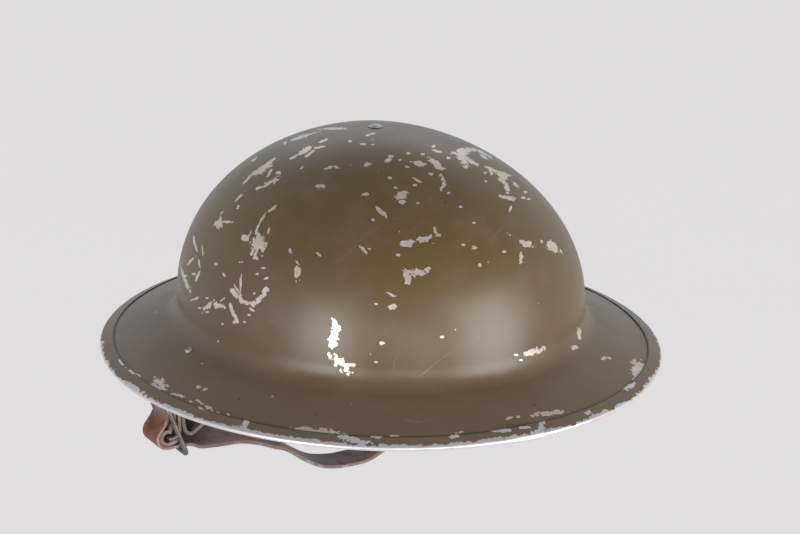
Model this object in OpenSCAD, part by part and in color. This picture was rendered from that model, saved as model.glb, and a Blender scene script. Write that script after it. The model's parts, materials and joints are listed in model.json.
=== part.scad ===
// Parade helmet: shallow bowl with a wide brim, a folded rim band, a riveted liner and a leather chinstrap.
// Millimetres. +Z up, the wearer looks along -Y, +X is the wearer's left.
// The origin is the centre of the head opening, in the plane of the rim.

/* [Shell] */
// Width of the brim, side to side
brim_w = 292; // [284:1:304]
// Length of the brim, front to back
brim_l = 307; // [299:1:320]
// Width of the bowl where its wall is upright
bowl_w = 209.6; // [204:0.2:214]
// Length of the bowl where its wall is upright
bowl_l = 226.8; // [221:0.2:232]
// Height of the crown above the plane of the rim
crown_h = 113.2; // [109:0.2:120]
// Distance the crown sits in front of the middle
crown_forward = 5.8; // [0:0.2:8]
// Thickness of the pressed sheet
shell_t = 1.1; // [0.9:0.1:1.4]
// Slope of the brim below the horizontal
brim_slope = 21.5; // [19:0.5:24]
// Radius of the bend between bowl and brim
bend_r = 12; // [10:0.5:14]
// Roundness of the bowl towards the crown, 2 is an ellipse
crown_power = 1.86; // [1.8:0.02:2]
// Roundness of the bowl towards the brim, 2 is an ellipse
wall_power = 2.09; // [2:0.01:2.2]

/* [Rim band] */
// Width of the folded band seen from above
band_w = 7.6; // [6:0.2:9]
// Thickness of the band's sheet
band_t = 0.6; // [0.5:0.05:0.8]
// Angle round the rim where the band's outer end stops
band_end = 88.2; // [80:0.2:100]
// Length of the lap of the band's two ends, as an angle
band_lap = 5; // [4:1:8]

/* [Rivets] */
// Diameter of the crown rivet's head
crown_head_d = 8; // [7:0.5:9]
// Height of the crown rivet's head
crown_head_h = 1.8; // [1.2:0.1:2.4]
// Diameter of the crown rivet's shank
crown_shank_d = 4; // [3:0.5:5]
// Diameter of a lug rivet's head
lug_head_d = 5; // [4.6:0.2:6]
// Height of a lug rivet's head
lug_head_h = 1.3; // [0.8:0.1:1.8]
// Diameter of a lug rivet's shank
lug_shank_d = 3; // [2.4:0.2:3.4]

/* [Lugs and bails] */
// Width of a lug
lug_w = 12; // [9:0.5:13]
// Thickness of a lug's sheet
lug_t = 0.8; // [0.6:0.1:1]
// Distance from a lug's rivet to its rolled eye, along the brim
eye_reach = 12.7; // [12:0.1:14]
// Diameter of a bail's wire
wire_d = 2.6; // [2.2:0.1:2.8]
// Height of a bail from bar to bar
bail_h = 15; // [14:0.2:18]

/* [Chinstrap] */
// Width of the leather
leather_w = 16.8; // [15:0.2:18]
// Thickness of the leather
leather_t = 1.8; // [1.5:0.1:2]
// Diameter of the slide buckle's wire
slide_d = 2.6; // [2.2:0.1:2.8]
// Distance between the slide buckle's outer bars
slide_l = 28.3; // [27:0.1:32]
// Lean of the slide buckle from the vertical
slide_lean = 20.3; // [18:0.1:23]
// Depth of the strap's lowest point below the bails' lower bars
strap_drop = 57.1; // [52:0.1:64]
// Diameter of a strap rivet's head
strap_head_d = 6.6; // [5:0.2:8]

/* [Liner] */
// Diameter of a rubber buffer
buffer_d = 8; // [7:0.5:10]
// Height of a rubber buffer
buffer_h = 18; // [14:1:20]
// Number of rubber buffers
buffer_count = 12; // [4:4:16]
// Thickness of the hoop
hoop_t = 0.8; // [0.6:0.1:1.2]
// Thickness of the sweatband
sweat_t = 1.5; // [1.2:0.1:2]
// Height of the sweatband
sweat_h = 30; // [26:1:32]
// Thickness of the cloth lining
lining_t = 1.2; // [0.8:0.1:1.4]
// Height of the lining's draw cord above the sweatband
lining_rise = 30; // [26:1:34]
// Number of tongues in the cloth lining
tongue_count = 8; // [6:1:10]
// Width of a slot between two tongues
tongue_gap = 5; // [3:0.5:8]
// Radius of the hole that the draw cord keeps
draw_r = 24; // [20:1:30]
// Diameter of the draw cord
cord_d = 2.6; // [2:0.2:3]
// Diameter of the felt crown pad
pad_d = 64; // [50:1:72]
// Height of the crown pad's underside above the rim
pad_z = 95.5; // [94:0.5:98]
// Width of a crown strap
tape_w = 18; // [14:1:20]
// Thickness of a crown strap
tape_t = 1.4; // [1:0.1:1.6]

/* [Hidden] */

around = 64;          // steps round an oval
$fn = 72;             // steps round a circle
touch = 0.05;         // gap between sheets that lie on each other, and round a rivet's shank
soft_gap = 0.25;      // gap between a soft piece and its neighbour
turn_gap = 0.08;      // gap round a wire that turns
over = 1;             // how far a cut runs past a face

steel = [0.36, 0.31, 0.2];
bare = [0.72, 0.72, 0.7];
hide = [0.35, 0.24, 0.18];
cloth = [0.16, 0.15, 0.13];
felt = [0.5, 0.45, 0.36];
rubber = [0.3, 0.16, 0.12];

// Section of the shell from side to side, as pairs of radius and height
slope_sin = sin(brim_slope);
slope_cos = cos(brim_slope);
slope_tan = tan(brim_slope);
fold_t = shell_t + 2 * band_t + 2 * touch;
lap_t = band_t + touch;
edge_r = brim_w / 2 - fold_t / 2;
wall_r = bowl_w / 2;
bend_out_r = wall_r + bend_r * (1 - slope_sin);
function brim_z(r) = shell_t / 2 / slope_cos + (edge_r - r) * slope_tan;
wall_z = brim_z(bend_out_r) + bend_r * slope_cos;
rise = crown_h - wall_z;
function bowl_pt(w) = [wall_r * pow(cos(w), 2 / crown_power), wall_z + rise * pow(sin(w), 2 / wall_power)];
function bend_pt(a) = [wall_r + bend_r * (1 - cos(a)), wall_z - bend_r * sin(a)];
bend_step = (90 - brim_slope) / 6;
sheet_out_r = edge_r + shell_t / 2 * slope_sin;
outer_face = concat([[0, crown_h]], [for (w = [84:-7:0]) bowl_pt(w)],
    [for (i = [1:6]) bend_pt(i * bend_step)],
    [for (r = [(bend_out_r + sheet_out_r) / 2, sheet_out_r]) [r, brim_z(r)]]);

// Unit normal on the left of a path at one of its points, and a path moved along its normals
function unit(v) = v / norm(v);
function left_of(v) = [-v[1], v[0]];
function normal(path, i) = left_of(unit(path[min(i + 1, len(path) - 1)] - path[max(i - 1, 0)]));
function moved(path, d) = [for (i = [0:len(path) - 1]) path[i] + d * normal(path, i)];
function backwards(path) = [for (i = [len(path) - 1:-1:0]) path[i]];

// The section's outer face moved inwards by d, its first point kept on the axis
function inward(d) = [for (i = [0:len(outer_face) - 1])
    i == 0 ? [0, crown_h - d] : outer_face[i] - d * normal(outer_face, i)];

// Half length of the oval that has half width r, and how far the oval at height z sits in front
function half_l(r) = r < wall_r ? r * bowl_l / bowl_w
    : bowl_l / 2 + (r - wall_r) * (brim_l - bowl_l) / (brim_w - bowl_w);
function lean(z) = -crown_forward * pow(max(0, z - wall_z) / rise, 2);
function oval_pt(p, t) = [p[0] * cos(t), half_l(p[0]) * sin(t) + lean(p[1]), p[1]];
function oval(p) = [for (i = [0:around - 1]) oval_pt(p, i * 360 / around)];
function chord_pt(p, t) = let (n = t * around / 360, i = floor(n))
    (i + 1 - n) * oval_pt(p, i * 360 / around) + (n - i) * oval_pt(p, (i + 1) * 360 / around);

// Half width of the bowl's inside at height z
function inside_r(z) = wall_r * pow(cos(asin(pow((z - wall_z) / rise, wall_power / 2))), 2 / crown_power) - shell_t;

// Skin over a stack of ovals, closed by a point at either end
module skin(first, ovals, last) {
    n = around;
    rows = len(ovals);
    end = 1 + rows * n;
    function at(j, i) = 1 + j * n + i % n;
    polyhedron(
        points = concat([first], [for (o = ovals) each o], [last]),
        faces = concat(
            [for (i = [0:n - 1]) [0, at(0, i + 1), at(0, i)]],
            [for (j = [0:rows - 2], i = [0:n - 1]) each [
                [at(j, i), at(j, i + 1), at(j + 1, i + 1)],
                [at(j, i), at(j + 1, i + 1), at(j + 1, i)]]],
            [for (i = [0:n - 1]) [at(rows - 1, i), at(rows - 1, i + 1), end]]));
}

// Band swept through open sections, each made of an outer and an inner row of points
module swept(outers, inners) {
    m = len(outers[0]);
    n = 2 * m;
    last = len(outers) - 1;
    function at(j, k) = j * n + k % n;
    polyhedron(
        points = [for (j = [0:last]) each concat(outers[j], backwards(inners[j]))],
        faces = concat(
            [for (k = [0:m - 2]) each [
                [at(0, k), at(0, k + 1), at(0, n - 2 - k)],
                [at(0, k), at(0, n - 2 - k), at(0, n - 1 - k)]]],
            [for (j = [0:last - 1], k = [0:n - 1]) each [
                [at(j, k), at(j + 1, k), at(j + 1, k + 1)],
                [at(j, k), at(j + 1, k + 1), at(j, k + 1)]]],
            [for (k = [0:m - 2]) each [
                [at(last, k), at(last, n - 2 - k), at(last, k + 1)],
                [at(last, k), at(last, n - 1 - k), at(last, n - 2 - k)]]]));
}

// Low domed head of a rivet, its flat side on the plane z = 0
module rivet_head(d, h) {
    ball_r = (d * d / 4 + h * h) / (2 * h);
    intersection() {
        translate([0, 0, h - ball_r]) sphere(r = ball_r);
        translate([-d, -d, 0]) cube([2 * d, 2 * d, h + over]);
    }
}

// Places children on the brim at the lug rivet, z along the outward normal, x down the slope
rivet_r = bend_out_r;
module on_brim(side) {
    mirror([side < 0 ? 1 : 0, 0, 0])
        translate([rivet_r, 0, brim_z(rivet_r)]) rotate([0, brim_slope, 0]) children();
}

// Shell

seat = 0.15;          // depth of the seat under a lug rivet's head
module shell() color(steel) {
    out = outer_face;
    in = inward(shell_t);
    faces_out = [for (i = [1:len(out) - 1]) oval(out[i])];
    faces_in = [for (i = [len(in) - 1:-1:1]) oval(in[i])];
    difference() {
        skin([0, lean(crown_h), crown_h], concat(faces_out, faces_in), [0, lean(crown_h), crown_h - shell_t]);
        translate([0, lean(crown_h), crown_h - 10]) cylinder(h = 20, d = crown_shank_d + 2 * touch);
        for (side = [-1, 1]) on_brim(side) {
            translate([0, 0, -5]) cylinder(h = 10, d = lug_shank_d + 2 * touch);
            translate([0, 0, -seat]) cylinder(h = 5, d = lug_head_d + 4 * touch);
        }
    }
}

// Rim band: a strip folded over the shell's edge, its two ends lapped at the back

nose_steps = 6;
leg_l = (band_w - fold_t / 2) / slope_cos;
function fold_pt(s, n) = [edge_r + s * slope_cos + n * slope_sin, -s * slope_sin + n * slope_cos];
function fold_row(half) = concat([fold_pt(-leg_l, half)],
    [for (i = [0:nose_steps]) let (a = 90 - i * 180 / nose_steps) fold_pt(half * cos(a), half * sin(a))],
    [fold_pt(-leg_l + 1, -half)]);
lap_start = band_end - band_lap;
ease = 2;             // angle over which the band climbs onto its other end
climb_start = 360 + lap_start - ease - 1;
function climb(t) = lap_t * min(1, max(0, (t - climb_start) / ease));
function even_stops(a, b) = [for (i = [floor(a * around / 360) + 1:ceil(b * around / 360) - 1]) i * 360 / around];
band_stops = concat([lap_start], even_stops(lap_start, climb_start), [climb_start],
    even_stops(climb_start, climb_start + ease), [climb_start + ease],
    even_stops(climb_start + ease, 360 + band_end), [360 + band_end]);
module rim_band() color(bare) {
    half_in = fold_t / 2 - band_t;
    half_out = fold_t / 2;
    swept([for (t = band_stops) [for (p = fold_row(half_out + climb(t))) chord_pt(p, t)]],
        [for (t = band_stops) [for (p = fold_row(half_in + climb(t))) chord_pt(p, t)]]);
}

// Crown: the rivet goes through the shell, both straps and a washer

cross_off = shell_t + 0.9;
long_off = cross_off + tape_t + 0.8;
washer_z = crown_h - long_off - tape_t - 0.5;
washer_t = 1;
washer_d = 15;
clinch_d = 7;
clinch_h = 1;
module at_crown(z) translate([0, lean(crown_h), z]) children();
module crown_rivet() color(bare) {
    at_crown(crown_h + touch) rivet_head(crown_head_d, crown_head_h);
    at_crown(washer_z - washer_t - touch - clinch_h / 2)
        cylinder(h = crown_h - washer_z + washer_t + 2 * touch + clinch_h, d = crown_shank_d);
    at_crown(washer_z - washer_t - touch - clinch_h) cylinder(h = clinch_h, d = clinch_d);
}
module crown_washer() color(bare)
    at_crown(washer_z - washer_t) difference() {
        cylinder(h = washer_t, d = washer_d);
        translate([0, 0, -over]) cylinder(h = washer_t + 2 * over, d = crown_shank_d + 2 * touch);
    }

// Hoop, buffers, sweatband: ovals that follow the inside of the bowl

hoop_h = 26;
hoop_z = wall_z + 2;
buffer_z = hoop_z + 1;
buffer_top_r = inside_r(buffer_z + buffer_h) - 0.2;
hoop_rx = buffer_top_r - buffer_d - 2 * soft_gap;
hoop_ry = half_l(buffer_top_r) + lean(buffer_z + buffer_h) - buffer_d - 2 * soft_gap;
head_t = 0.8;         // height of the flat heads of the liner's rivets
head_gap = 0.25;      // gap on either side of those heads
sweat_rx = hoop_rx - hoop_t - head_t - 2 * head_gap;
sweat_ry = hoop_ry - hoop_t - head_t - 2 * head_gap;
sweat_z = hoop_z - 2;
function flat_oval(rx, ry) = [for (i = [0:around - 1]) let (t = i * 360 / around) [rx * cos(t), ry * sin(t)]];
module oval_band(rx, ry, t, h) linear_extrude(h) difference() {
    polygon(flat_oval(rx, ry));
    polygon(flat_oval(rx - t, ry - t));
}
function hoop_turn(t) = atan2(sin(t) / hoop_ry, cos(t) / hoop_rx);
module on_hoop(t) translate([hoop_rx * cos(t), hoop_ry * sin(t), 0]) rotate([0, 0, hoop_turn(t)]) children();
buffer_angles = [for (i = [0:buffer_count - 1]) (i + 0.5) * 360 / buffer_count];
pin_d = 2.6;
pin_z = buffer_z + buffer_h / 2;
tape_pin_z = hoop_z + 12;
module pin_holes(angles, z) for (t = angles) on_hoop(t)
    translate([-6, 0, z]) rotate([0, 90, 0]) cylinder(h = 12, d = pin_d + 2 * touch);
module hoop() color(bare) difference() {
    translate([0, 0, hoop_z]) oval_band(hoop_rx, hoop_ry, hoop_t, hoop_h);
    pin_holes(buffer_angles, pin_z);
    pin_holes([0, 90, 180, 270], tape_pin_z);
}
buffer_wall = buffer_d / 5;
module buffers() color(rubber) for (t = buffer_angles) on_hoop(t)
    translate([buffer_d / 2 + soft_gap, 0, buffer_z]) difference() {
        cylinder(h = buffer_h, d = buffer_d);
        translate([0, 0, -over]) cylinder(h = buffer_h + 2 * over, d = buffer_d - 2 * buffer_wall);
        translate([-buffer_d / 2 - over, 0, pin_z - buffer_z]) rotate([0, 90, 0])
            cylinder(h = buffer_d / 2 + over, d = pin_d + 2 * touch);
    }
module pins(angles, z, l) for (t = angles) on_hoop(t)
    translate([-hoop_t - head_gap - head_t, 0, z]) rotate([0, 90, 0]) {
        cylinder(h = head_t, d = pin_d + 2.4);
        cylinder(h = head_t + head_gap + hoop_t + l, d = pin_d);
    }
module buffer_rivets() color(bare) pins(buffer_angles, pin_z, soft_gap + buffer_wall + 0.8);
module hoop_rivets() color(bare) pins([0, 90, 180, 270], tape_pin_z, touch * 2 + tape_t + 0.6);
module sweatband() color(hide)
    translate([0, 0, sweat_z]) oval_band(sweat_rx, sweat_ry, sweat_t, sweat_h);

// Crown straps: tapes along the inside of the bowl, turned down onto the hoop

tape_face_r = hoop_rx + 2 * touch + tape_t;
tape_face_l = hoop_ry + 2 * touch + tape_t;
tape_low = tape_pin_z - 6;
tape_high = hoop_z + hoop_h + 3;
tape_bend = 1;        // least step from a strap's upright end to where it follows the bowl
function tape_side(off) = [for (p = inward(off))
    if (p[0] < tape_face_r - tape_bend && p[1] > tape_high + tape_bend) p];
function tape_back(off, s) = [for (p = inward(off)) let (y = s * half_l(p[0]) + lean(p[1]))
    if (abs(y) < tape_face_l - tape_bend && p[1] > tape_high + tape_bend) [y, p[1]]];
function tape_path(near, far, edge) = concat([[edge[0], tape_low], [edge[0], tape_high]], backwards(near),
    [for (i = [1:len(far) - 1]) far[i]], [[edge[1], tape_high], [edge[1], tape_low]]);
cross_path = let (s = tape_side(cross_off))
    tape_path([for (p = s) [-p[0], p[1]]], s, [-tape_face_r, tape_face_r]);
long_path = tape_path(tape_back(long_off, -1), tape_back(long_off, 1), [-tape_face_l, tape_face_l]);
module tape(path) rotate([90, 0, 0])
    linear_extrude(tape_w, center = true) polygon(concat(path, backwards(moved(path, -tape_t))));
module crown_hole() at_crown(crown_h - 30) cylinder(h = 40, d = crown_shank_d + 2 * touch);
module cross_strap() color(cloth) difference() {
    translate([0, lean(crown_h), 0]) tape(cross_path);
    crown_hole();
    pin_holes([0, 180], tape_pin_z);
}
module long_strap() color(cloth) difference() {
    rotate([0, 0, 90]) tape(long_path);
    crown_hole();
    pin_holes([90, 270], tape_pin_z);
}

// Crown pad: domed on top, flat below, with room for the washer

pad_off = long_off + tape_t + 0.5;
pad_top = [for (p = inward(pad_off)) if (p[0] < pad_d / 2) p];
pad_edge_z = pad_top[len(pad_top) - 1][1] - (pad_d / 2 - pad_top[len(pad_top) - 1][0]) * 0.45;
module crown_pad() color(felt) difference() {
    at_crown(0) rotate_extrude() polygon(concat(pad_top, [[pad_d / 2, pad_edge_z], [pad_d / 2, pad_z], [0, pad_z]]));
    at_crown(washer_z - washer_t - clinch_h - 0.6) cylinder(h = 20, d = washer_d + 2);
}

// Lining: a cloth skirt inside the sweatband that closes in to tongues, hemmed round a draw cord

cloth_r = sweat_rx - sweat_t - soft_gap - lining_t / 2;
cloth_z = sweat_z + sweat_h - 10;
cord_z = sweat_z + sweat_h + lining_rise;
hem_r = cord_d / 2 + 0.25 + lining_t / 2;
cloth_path = concat([[cloth_r, cloth_z], [cloth_r, cloth_z + 10]],
    [for (a = [15:15:75]) [draw_r + 4 + (cloth_r - draw_r - 4) * pow(cos(a), 1.5),
        cloth_z + 10 + (cord_z + hem_r - cloth_z - 10) * sin(a)]],
    [for (a = [90:30:360]) [draw_r + hem_r * cos(a), cord_z + hem_r * sin(a)]]);
module cloth_oval() scale([1, (sweat_ry - sweat_t) / (sweat_rx - sweat_t), 1]) children();
module lining() color(cloth) difference() {
    cloth_oval() rotate_extrude() polygon(concat(moved(cloth_path, lining_t / 2),
        backwards(moved(cloth_path, -lining_t / 2))));
    for (i = [0:tongue_count - 1]) rotate([0, 0, (i + 0.5) * 360 / tongue_count])
        translate([10, -tongue_gap / 2, cloth_z + 20]) cube([cloth_r - 24, tongue_gap, 60]);
}
module draw_cord() color(felt) cloth_oval()
    translate([0, 0, cord_z]) rotate_extrude() translate([draw_r, 0]) circle(d = cord_d);

// Lugs: a riveted plate whose outer end is rolled into an eye

eye_in_r = wire_d / 2 + turn_gap;
eye_out_r = eye_in_r + lug_t;
lug_gap = 0.15;
lug_top = -shell_t - lug_gap;
eye_n = lug_top - eye_out_r;
module lug(side) color(steel) on_brim(side) difference() {
    rotate([90, 0, 0]) linear_extrude(lug_w, center = true) difference() {
        union() {
            translate([-6, lug_top - lug_t]) square([eye_reach + 6, lug_t]);
            translate([eye_reach, eye_n]) circle(r = eye_out_r);
        }
        translate([eye_reach, eye_n]) circle(r = eye_in_r);
    }
    translate([0, 0, lug_top - lug_t - over]) cylinder(h = lug_t + 2 * over, d = lug_shank_d + 2 * touch);
}
module left_lug() lug(1);
module right_lug() lug(-1);
module lug_rivet(side) color(bare) on_brim(side) {
    translate([0, 0, touch - seat]) rivet_head(lug_head_d, lug_head_h);
    translate([0, 0, lug_top - lug_t - 0.5]) cylinder(h = -lug_top + lug_t + 0.5 + touch, d = lug_shank_d);
    translate([0, 0, lug_top - lug_t - touch]) mirror([0, 0, 1]) rivet_head(lug_head_d, 1);
}
module left_lug_rivet() lug_rivet(1);
module right_lug_rivet() lug_rivet(-1);

// Bails: wire rectangles that hang in the eyes

bar_x = rivet_r + eye_reach * slope_cos + eye_n * slope_sin;
eye_z = brim_z(rivet_r) - eye_reach * slope_sin + eye_n * slope_cos;
bar_z = eye_z - bail_h;
module wire_frame(w, h, d, r) {
    for (s = [-1, 1]) {
        translate([0, s * w / 2, r - h]) cylinder(h = h - 2 * r, d = d);
        translate([0, r - w / 2, s * h / 2 - h / 2]) rotate([-90, 0, 0]) cylinder(h = w - 2 * r, d = d);
        for (u = [-1, 1]) translate([0, s * (w / 2 - r), u * (h / 2 - r) - h / 2])
            rotate([s * u < 0 ? (s > 0 ? 0 : 180) : (s > 0 ? 90 : 270), 0, 0]) rotate([0, 90, 0])
                rotate_extrude(angle = 90) translate([r, 0]) circle(d = d);
    }
}
module left_bail() color(bare) translate([bar_x, 0, eye_z])
    wire_frame(leather_w + 2.4 + wire_d, bail_h, wire_d, 3);
module right_bail() mirror([1, 0, 0]) left_bail();

// Slide buckle: two outer bars and a raised centre bar

slide_at = [bar_x + 6.8, bar_z - 2];
bridge_d = 2.4;
bridge_up = 4.6;
bridge_down = 15.8;
leg_y = leather_w / 2 + 0.4 + slide_d / 2;
slide_out = [cos(slide_lean), -sin(slide_lean)];
slide_down = [-sin(slide_lean), -cos(slide_lean)];
bridge_at = slide_at + bridge_up * slide_out + bridge_down * slide_down;
module slide_buckle() color(bare)
    translate([slide_at[0], 0, slide_at[1]]) rotate([0, slide_lean, 0]) {
        wire_frame(2 * leg_y, slide_l, slide_d, 2.6);
        translate([bridge_up, -leg_y, -bridge_down]) rotate([-90, 0, 0]) cylinder(h = 2 * leg_y, d = bridge_d);
        for (s = [-1, 1]) {
            translate([0, s * leg_y, -bridge_down]) rotate([0, 90, 0]) cylinder(h = bridge_up, d = bridge_d);
            translate([bridge_up, s * leg_y, -bridge_down]) sphere(d = bridge_d);
        }
    }

// Smooth path through stations, four points to a stretch
function blend(a, b, c, d, t) = 0.5 * (2 * b + (c - a) * t + (2 * a - 5 * b + 4 * c - d) * t * t
    + (3 * b - 3 * c + d - a) * t * t * t);
function smooth(p, n) = [for (i = [0:len(p) - 2], k = [0:n - 1])
    blend(p[max(i - 1, 0)], p[i], p[i + 1], p[min(i + 2, len(p) - 1)], k / n)];
function arc(c, r, from, to, n) = [for (i = [0:n]) let (a = from + i * (to - from) / n) c + r * [cos(a), sin(a)]];
module leather(path) color(hide) rotate([90, 0, 0]) linear_extrude(leather_w, center = true)
    polygon(concat(moved(path, leather_t / 2), backwards(moved(path, -leather_t / 2))));

// Short strap: a loop round the left bail's lower bar and the buckle's centre bar, riveted on its inner side

bar = [bar_x, bar_z];
hook_r = wire_d / 2 + 0.2 + leather_t / 2;
coil_r = bridge_d / 2 + 1.3 + leather_t / 2;
coil_at = bridge_at + [0.7, 0];
inner_x = bar[0] - hook_r;
lap_x = bar[0] - 0.15;
short_low = bar[1] - 12;
short_path = concat([[inner_x, short_low], [inner_x, short_low + 6]],
    arc(bar, hook_r, 180, 0, 8),
    smooth([bar + [hook_r, -4], bar + [hook_r + 0.15, -8.5], bar + [hook_r + 1.1, -12]], 4),
    arc(coil_at, coil_r, 112, -100, 12),
    smooth([coil_at + [-4.4, -2.6], [lap_x + 0.3, coil_at[1] + 1.6], [lap_x, coil_at[1] + 5]], 4),
    [[lap_x, coil_at[1] + 5], [lap_x, bar[1] - wire_d / 2 - 1]]);
short_pin_z = bar[1] - 8;
strap_pin_d = 2.6;
module short_strap() difference() {
    leather(short_path);
    translate([inner_x - 3, 0, short_pin_z]) rotate([0, 90, 0])
        cylinder(h = lap_x - inner_x + 4, d = strap_pin_d + 4 * touch);
}
module short_strap_rivet() color(bare) {
    translate([inner_x - leather_t / 2 - touch, 0, short_pin_z]) rotate([0, -90, 0]) rivet_head(strap_head_d, 1.1);
    translate([inner_x - leather_t / 2 - 0.5, 0, short_pin_z]) rotate([0, 90, 0])
        cylinder(h = lap_x - inner_x + leather_t + 0.7, d = strap_pin_d);
}

// Chinstrap: from its riveted loop on the right bail down under the chin, through the buckle and back up

right_bar = [-bar_x, bar_z];
sag = [[-0.65, 0.46], [-0.41, 0.64], [-0.16, 0.81], [0, 0.93], [0.09, 0.995], [0.15, 1], [0.24, 0.988],
    [0.33, 0.935], [0.41, 0.832], [0.52, 0.66], [0.67, 0.513]];
loop_r = coil_r + leather_t + 0.25;
doubled = smooth([right_bar + [7.1, -6.8], right_bar + [15.5, -13.1], right_bar + [24, -18.1],
    right_bar + [33, -22.3]], 4);
tail = moved(doubled, leather_t + 0.2);
main_path = smooth(concat(
    [doubled[len(doubled) - 1]],
    [for (s = sag) [s[0] * bar_x, bar_z - s[1] * strap_drop]],
    [coil_at + [-26.3, -loop_r - 3], coil_at + [-12.3, -loop_r - 0.4], coil_at + [-4, -loop_r - 0.15]]), 4);
tongue = smooth([coil_at + [1.3, 7], slide_at + [-2.2, -3.6], slide_at + [-2.45, 0],
    slide_at + [-2.6, 5], slide_at + [-2.8, 10]], 4);
chin_path = concat(backwards(tail), arc(right_bar, hook_r, 51, 231, 8), doubled,
    [for (i = [1:len(main_path) - 1]) main_path[i]],
    arc(coil_at, loop_r, -90, 48, 8), tongue, [slide_at + [-2.8, 10]]);
rivet_i = 7;
strap_turn = atan2(doubled[rivet_i][1] - doubled[rivet_i - 1][1], doubled[rivet_i][0] - doubled[rivet_i - 1][0]);
module on_doubled() translate([doubled[rivet_i][0], 0, doubled[rivet_i][1]]) rotate([0, -strap_turn, 0]) children();
module chin_strap() difference() {
    leather(chin_path);
    on_doubled() translate([0, 0, -3]) cylinder(h = 2 * leather_t + 6, d = strap_pin_d + 4 * touch);
}
module chin_strap_rivet() color(bare) on_doubled() {
    translate([0, 0, -leather_t / 2 - touch]) mirror([0, 0, 1]) rivet_head(strap_head_d, 1.1);
    translate([0, 0, -leather_t / 2 - 0.5]) cylinder(h = 2 * leather_t + 1.2, d = strap_pin_d);
    translate([0, 0, 1.5 * leather_t + 0.2 + touch + 0.1]) rivet_head(strap_head_d - 1.4, 0.8);
}

shell();
rim_band();
crown_rivet();
crown_washer();
cross_strap();
long_strap();
crown_pad();
lining();
draw_cord();
sweatband();
hoop();
buffers();
buffer_rivets();
hoop_rivets();
left_lug();
right_lug();
left_lug_rivet();
right_lug_rivet();
left_bail();
right_bail();
short_strap();
short_strap_rivet();
slide_buckle();
chin_strap();
chin_strap_rivet();
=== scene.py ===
"""Steel parade helmet: its pieces shaped and finished in the places of the packed model's nodes."""
import json
from math import atan2, cos, degrees, hypot, pi, radians, sin, tan

import bpy
import bmesh
import numpy as np
from bpy.props import FloatProperty, FloatVectorProperty, IntProperty, PointerProperty
from mathutils import Matrix, Vector
from mathutils.bvhtree import BVHTree


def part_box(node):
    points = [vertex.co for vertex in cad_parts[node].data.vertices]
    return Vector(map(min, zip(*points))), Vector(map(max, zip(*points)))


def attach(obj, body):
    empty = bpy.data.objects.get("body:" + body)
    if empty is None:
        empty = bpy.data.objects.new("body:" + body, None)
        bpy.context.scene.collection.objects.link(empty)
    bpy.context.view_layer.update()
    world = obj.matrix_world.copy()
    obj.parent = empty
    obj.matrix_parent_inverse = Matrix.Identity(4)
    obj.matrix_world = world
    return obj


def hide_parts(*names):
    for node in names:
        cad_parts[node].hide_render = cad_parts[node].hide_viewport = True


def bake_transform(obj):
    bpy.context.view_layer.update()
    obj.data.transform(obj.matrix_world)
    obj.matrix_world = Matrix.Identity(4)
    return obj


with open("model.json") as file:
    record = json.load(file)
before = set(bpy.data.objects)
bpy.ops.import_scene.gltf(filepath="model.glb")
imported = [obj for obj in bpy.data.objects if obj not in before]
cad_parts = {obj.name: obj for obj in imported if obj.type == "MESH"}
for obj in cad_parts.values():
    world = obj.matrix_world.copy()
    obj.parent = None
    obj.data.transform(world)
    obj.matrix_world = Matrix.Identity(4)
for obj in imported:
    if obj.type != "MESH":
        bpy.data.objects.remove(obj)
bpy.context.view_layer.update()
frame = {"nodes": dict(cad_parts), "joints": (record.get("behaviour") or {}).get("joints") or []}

bl_info = {
    "name": "Steel Parade Helmet",
    "version": (1, 0, 0),
    "blender": (4, 5, 0),
    "location": "View3D > Sidebar > Helmet",
    "description": "Pressed steel helmet with a folded rim, a liner on buffers and a leather chinstrap",
    "category": "Add Mesh",
}

MM = 0.001
shell_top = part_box("shell")[1].z
sweat_low, sweat_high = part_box("sweatband")
hoop_low, hoop_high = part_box("hoop")
joint_at = {j["name"]: Vector(j["pos_m"]) for j in frame["joints"]}
# Thickness of the sweatband's leather, and the gap that pieces beside each other keep
SWEAT_T, CLEAR = 1.5 * MM, 0.25 * MM
# Two places nearer than this are one
WELD = 0.001 * MM


def length(name, text, default):
    return FloatProperty(name=name, description=text, default=default, unit="LENGTH", precision=5)


def angle(name, text, default):
    return FloatProperty(name=name, description=text, default=radians(default), subtype="ANGLE")


def colour(name, text, red, green, blue):
    """Colour property from the three screen values of the colour"""
    def linear(v):
        v = v / 255
        return v / 12.92 if v <= 0.04045 else ((v + 0.055) / 1.055) ** 2.4
    return FloatVectorProperty(name=name, description=text, subtype="COLOR", size=4, min=0, max=1,
                               default=(linear(red), linear(green), linear(blue), 1))


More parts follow.
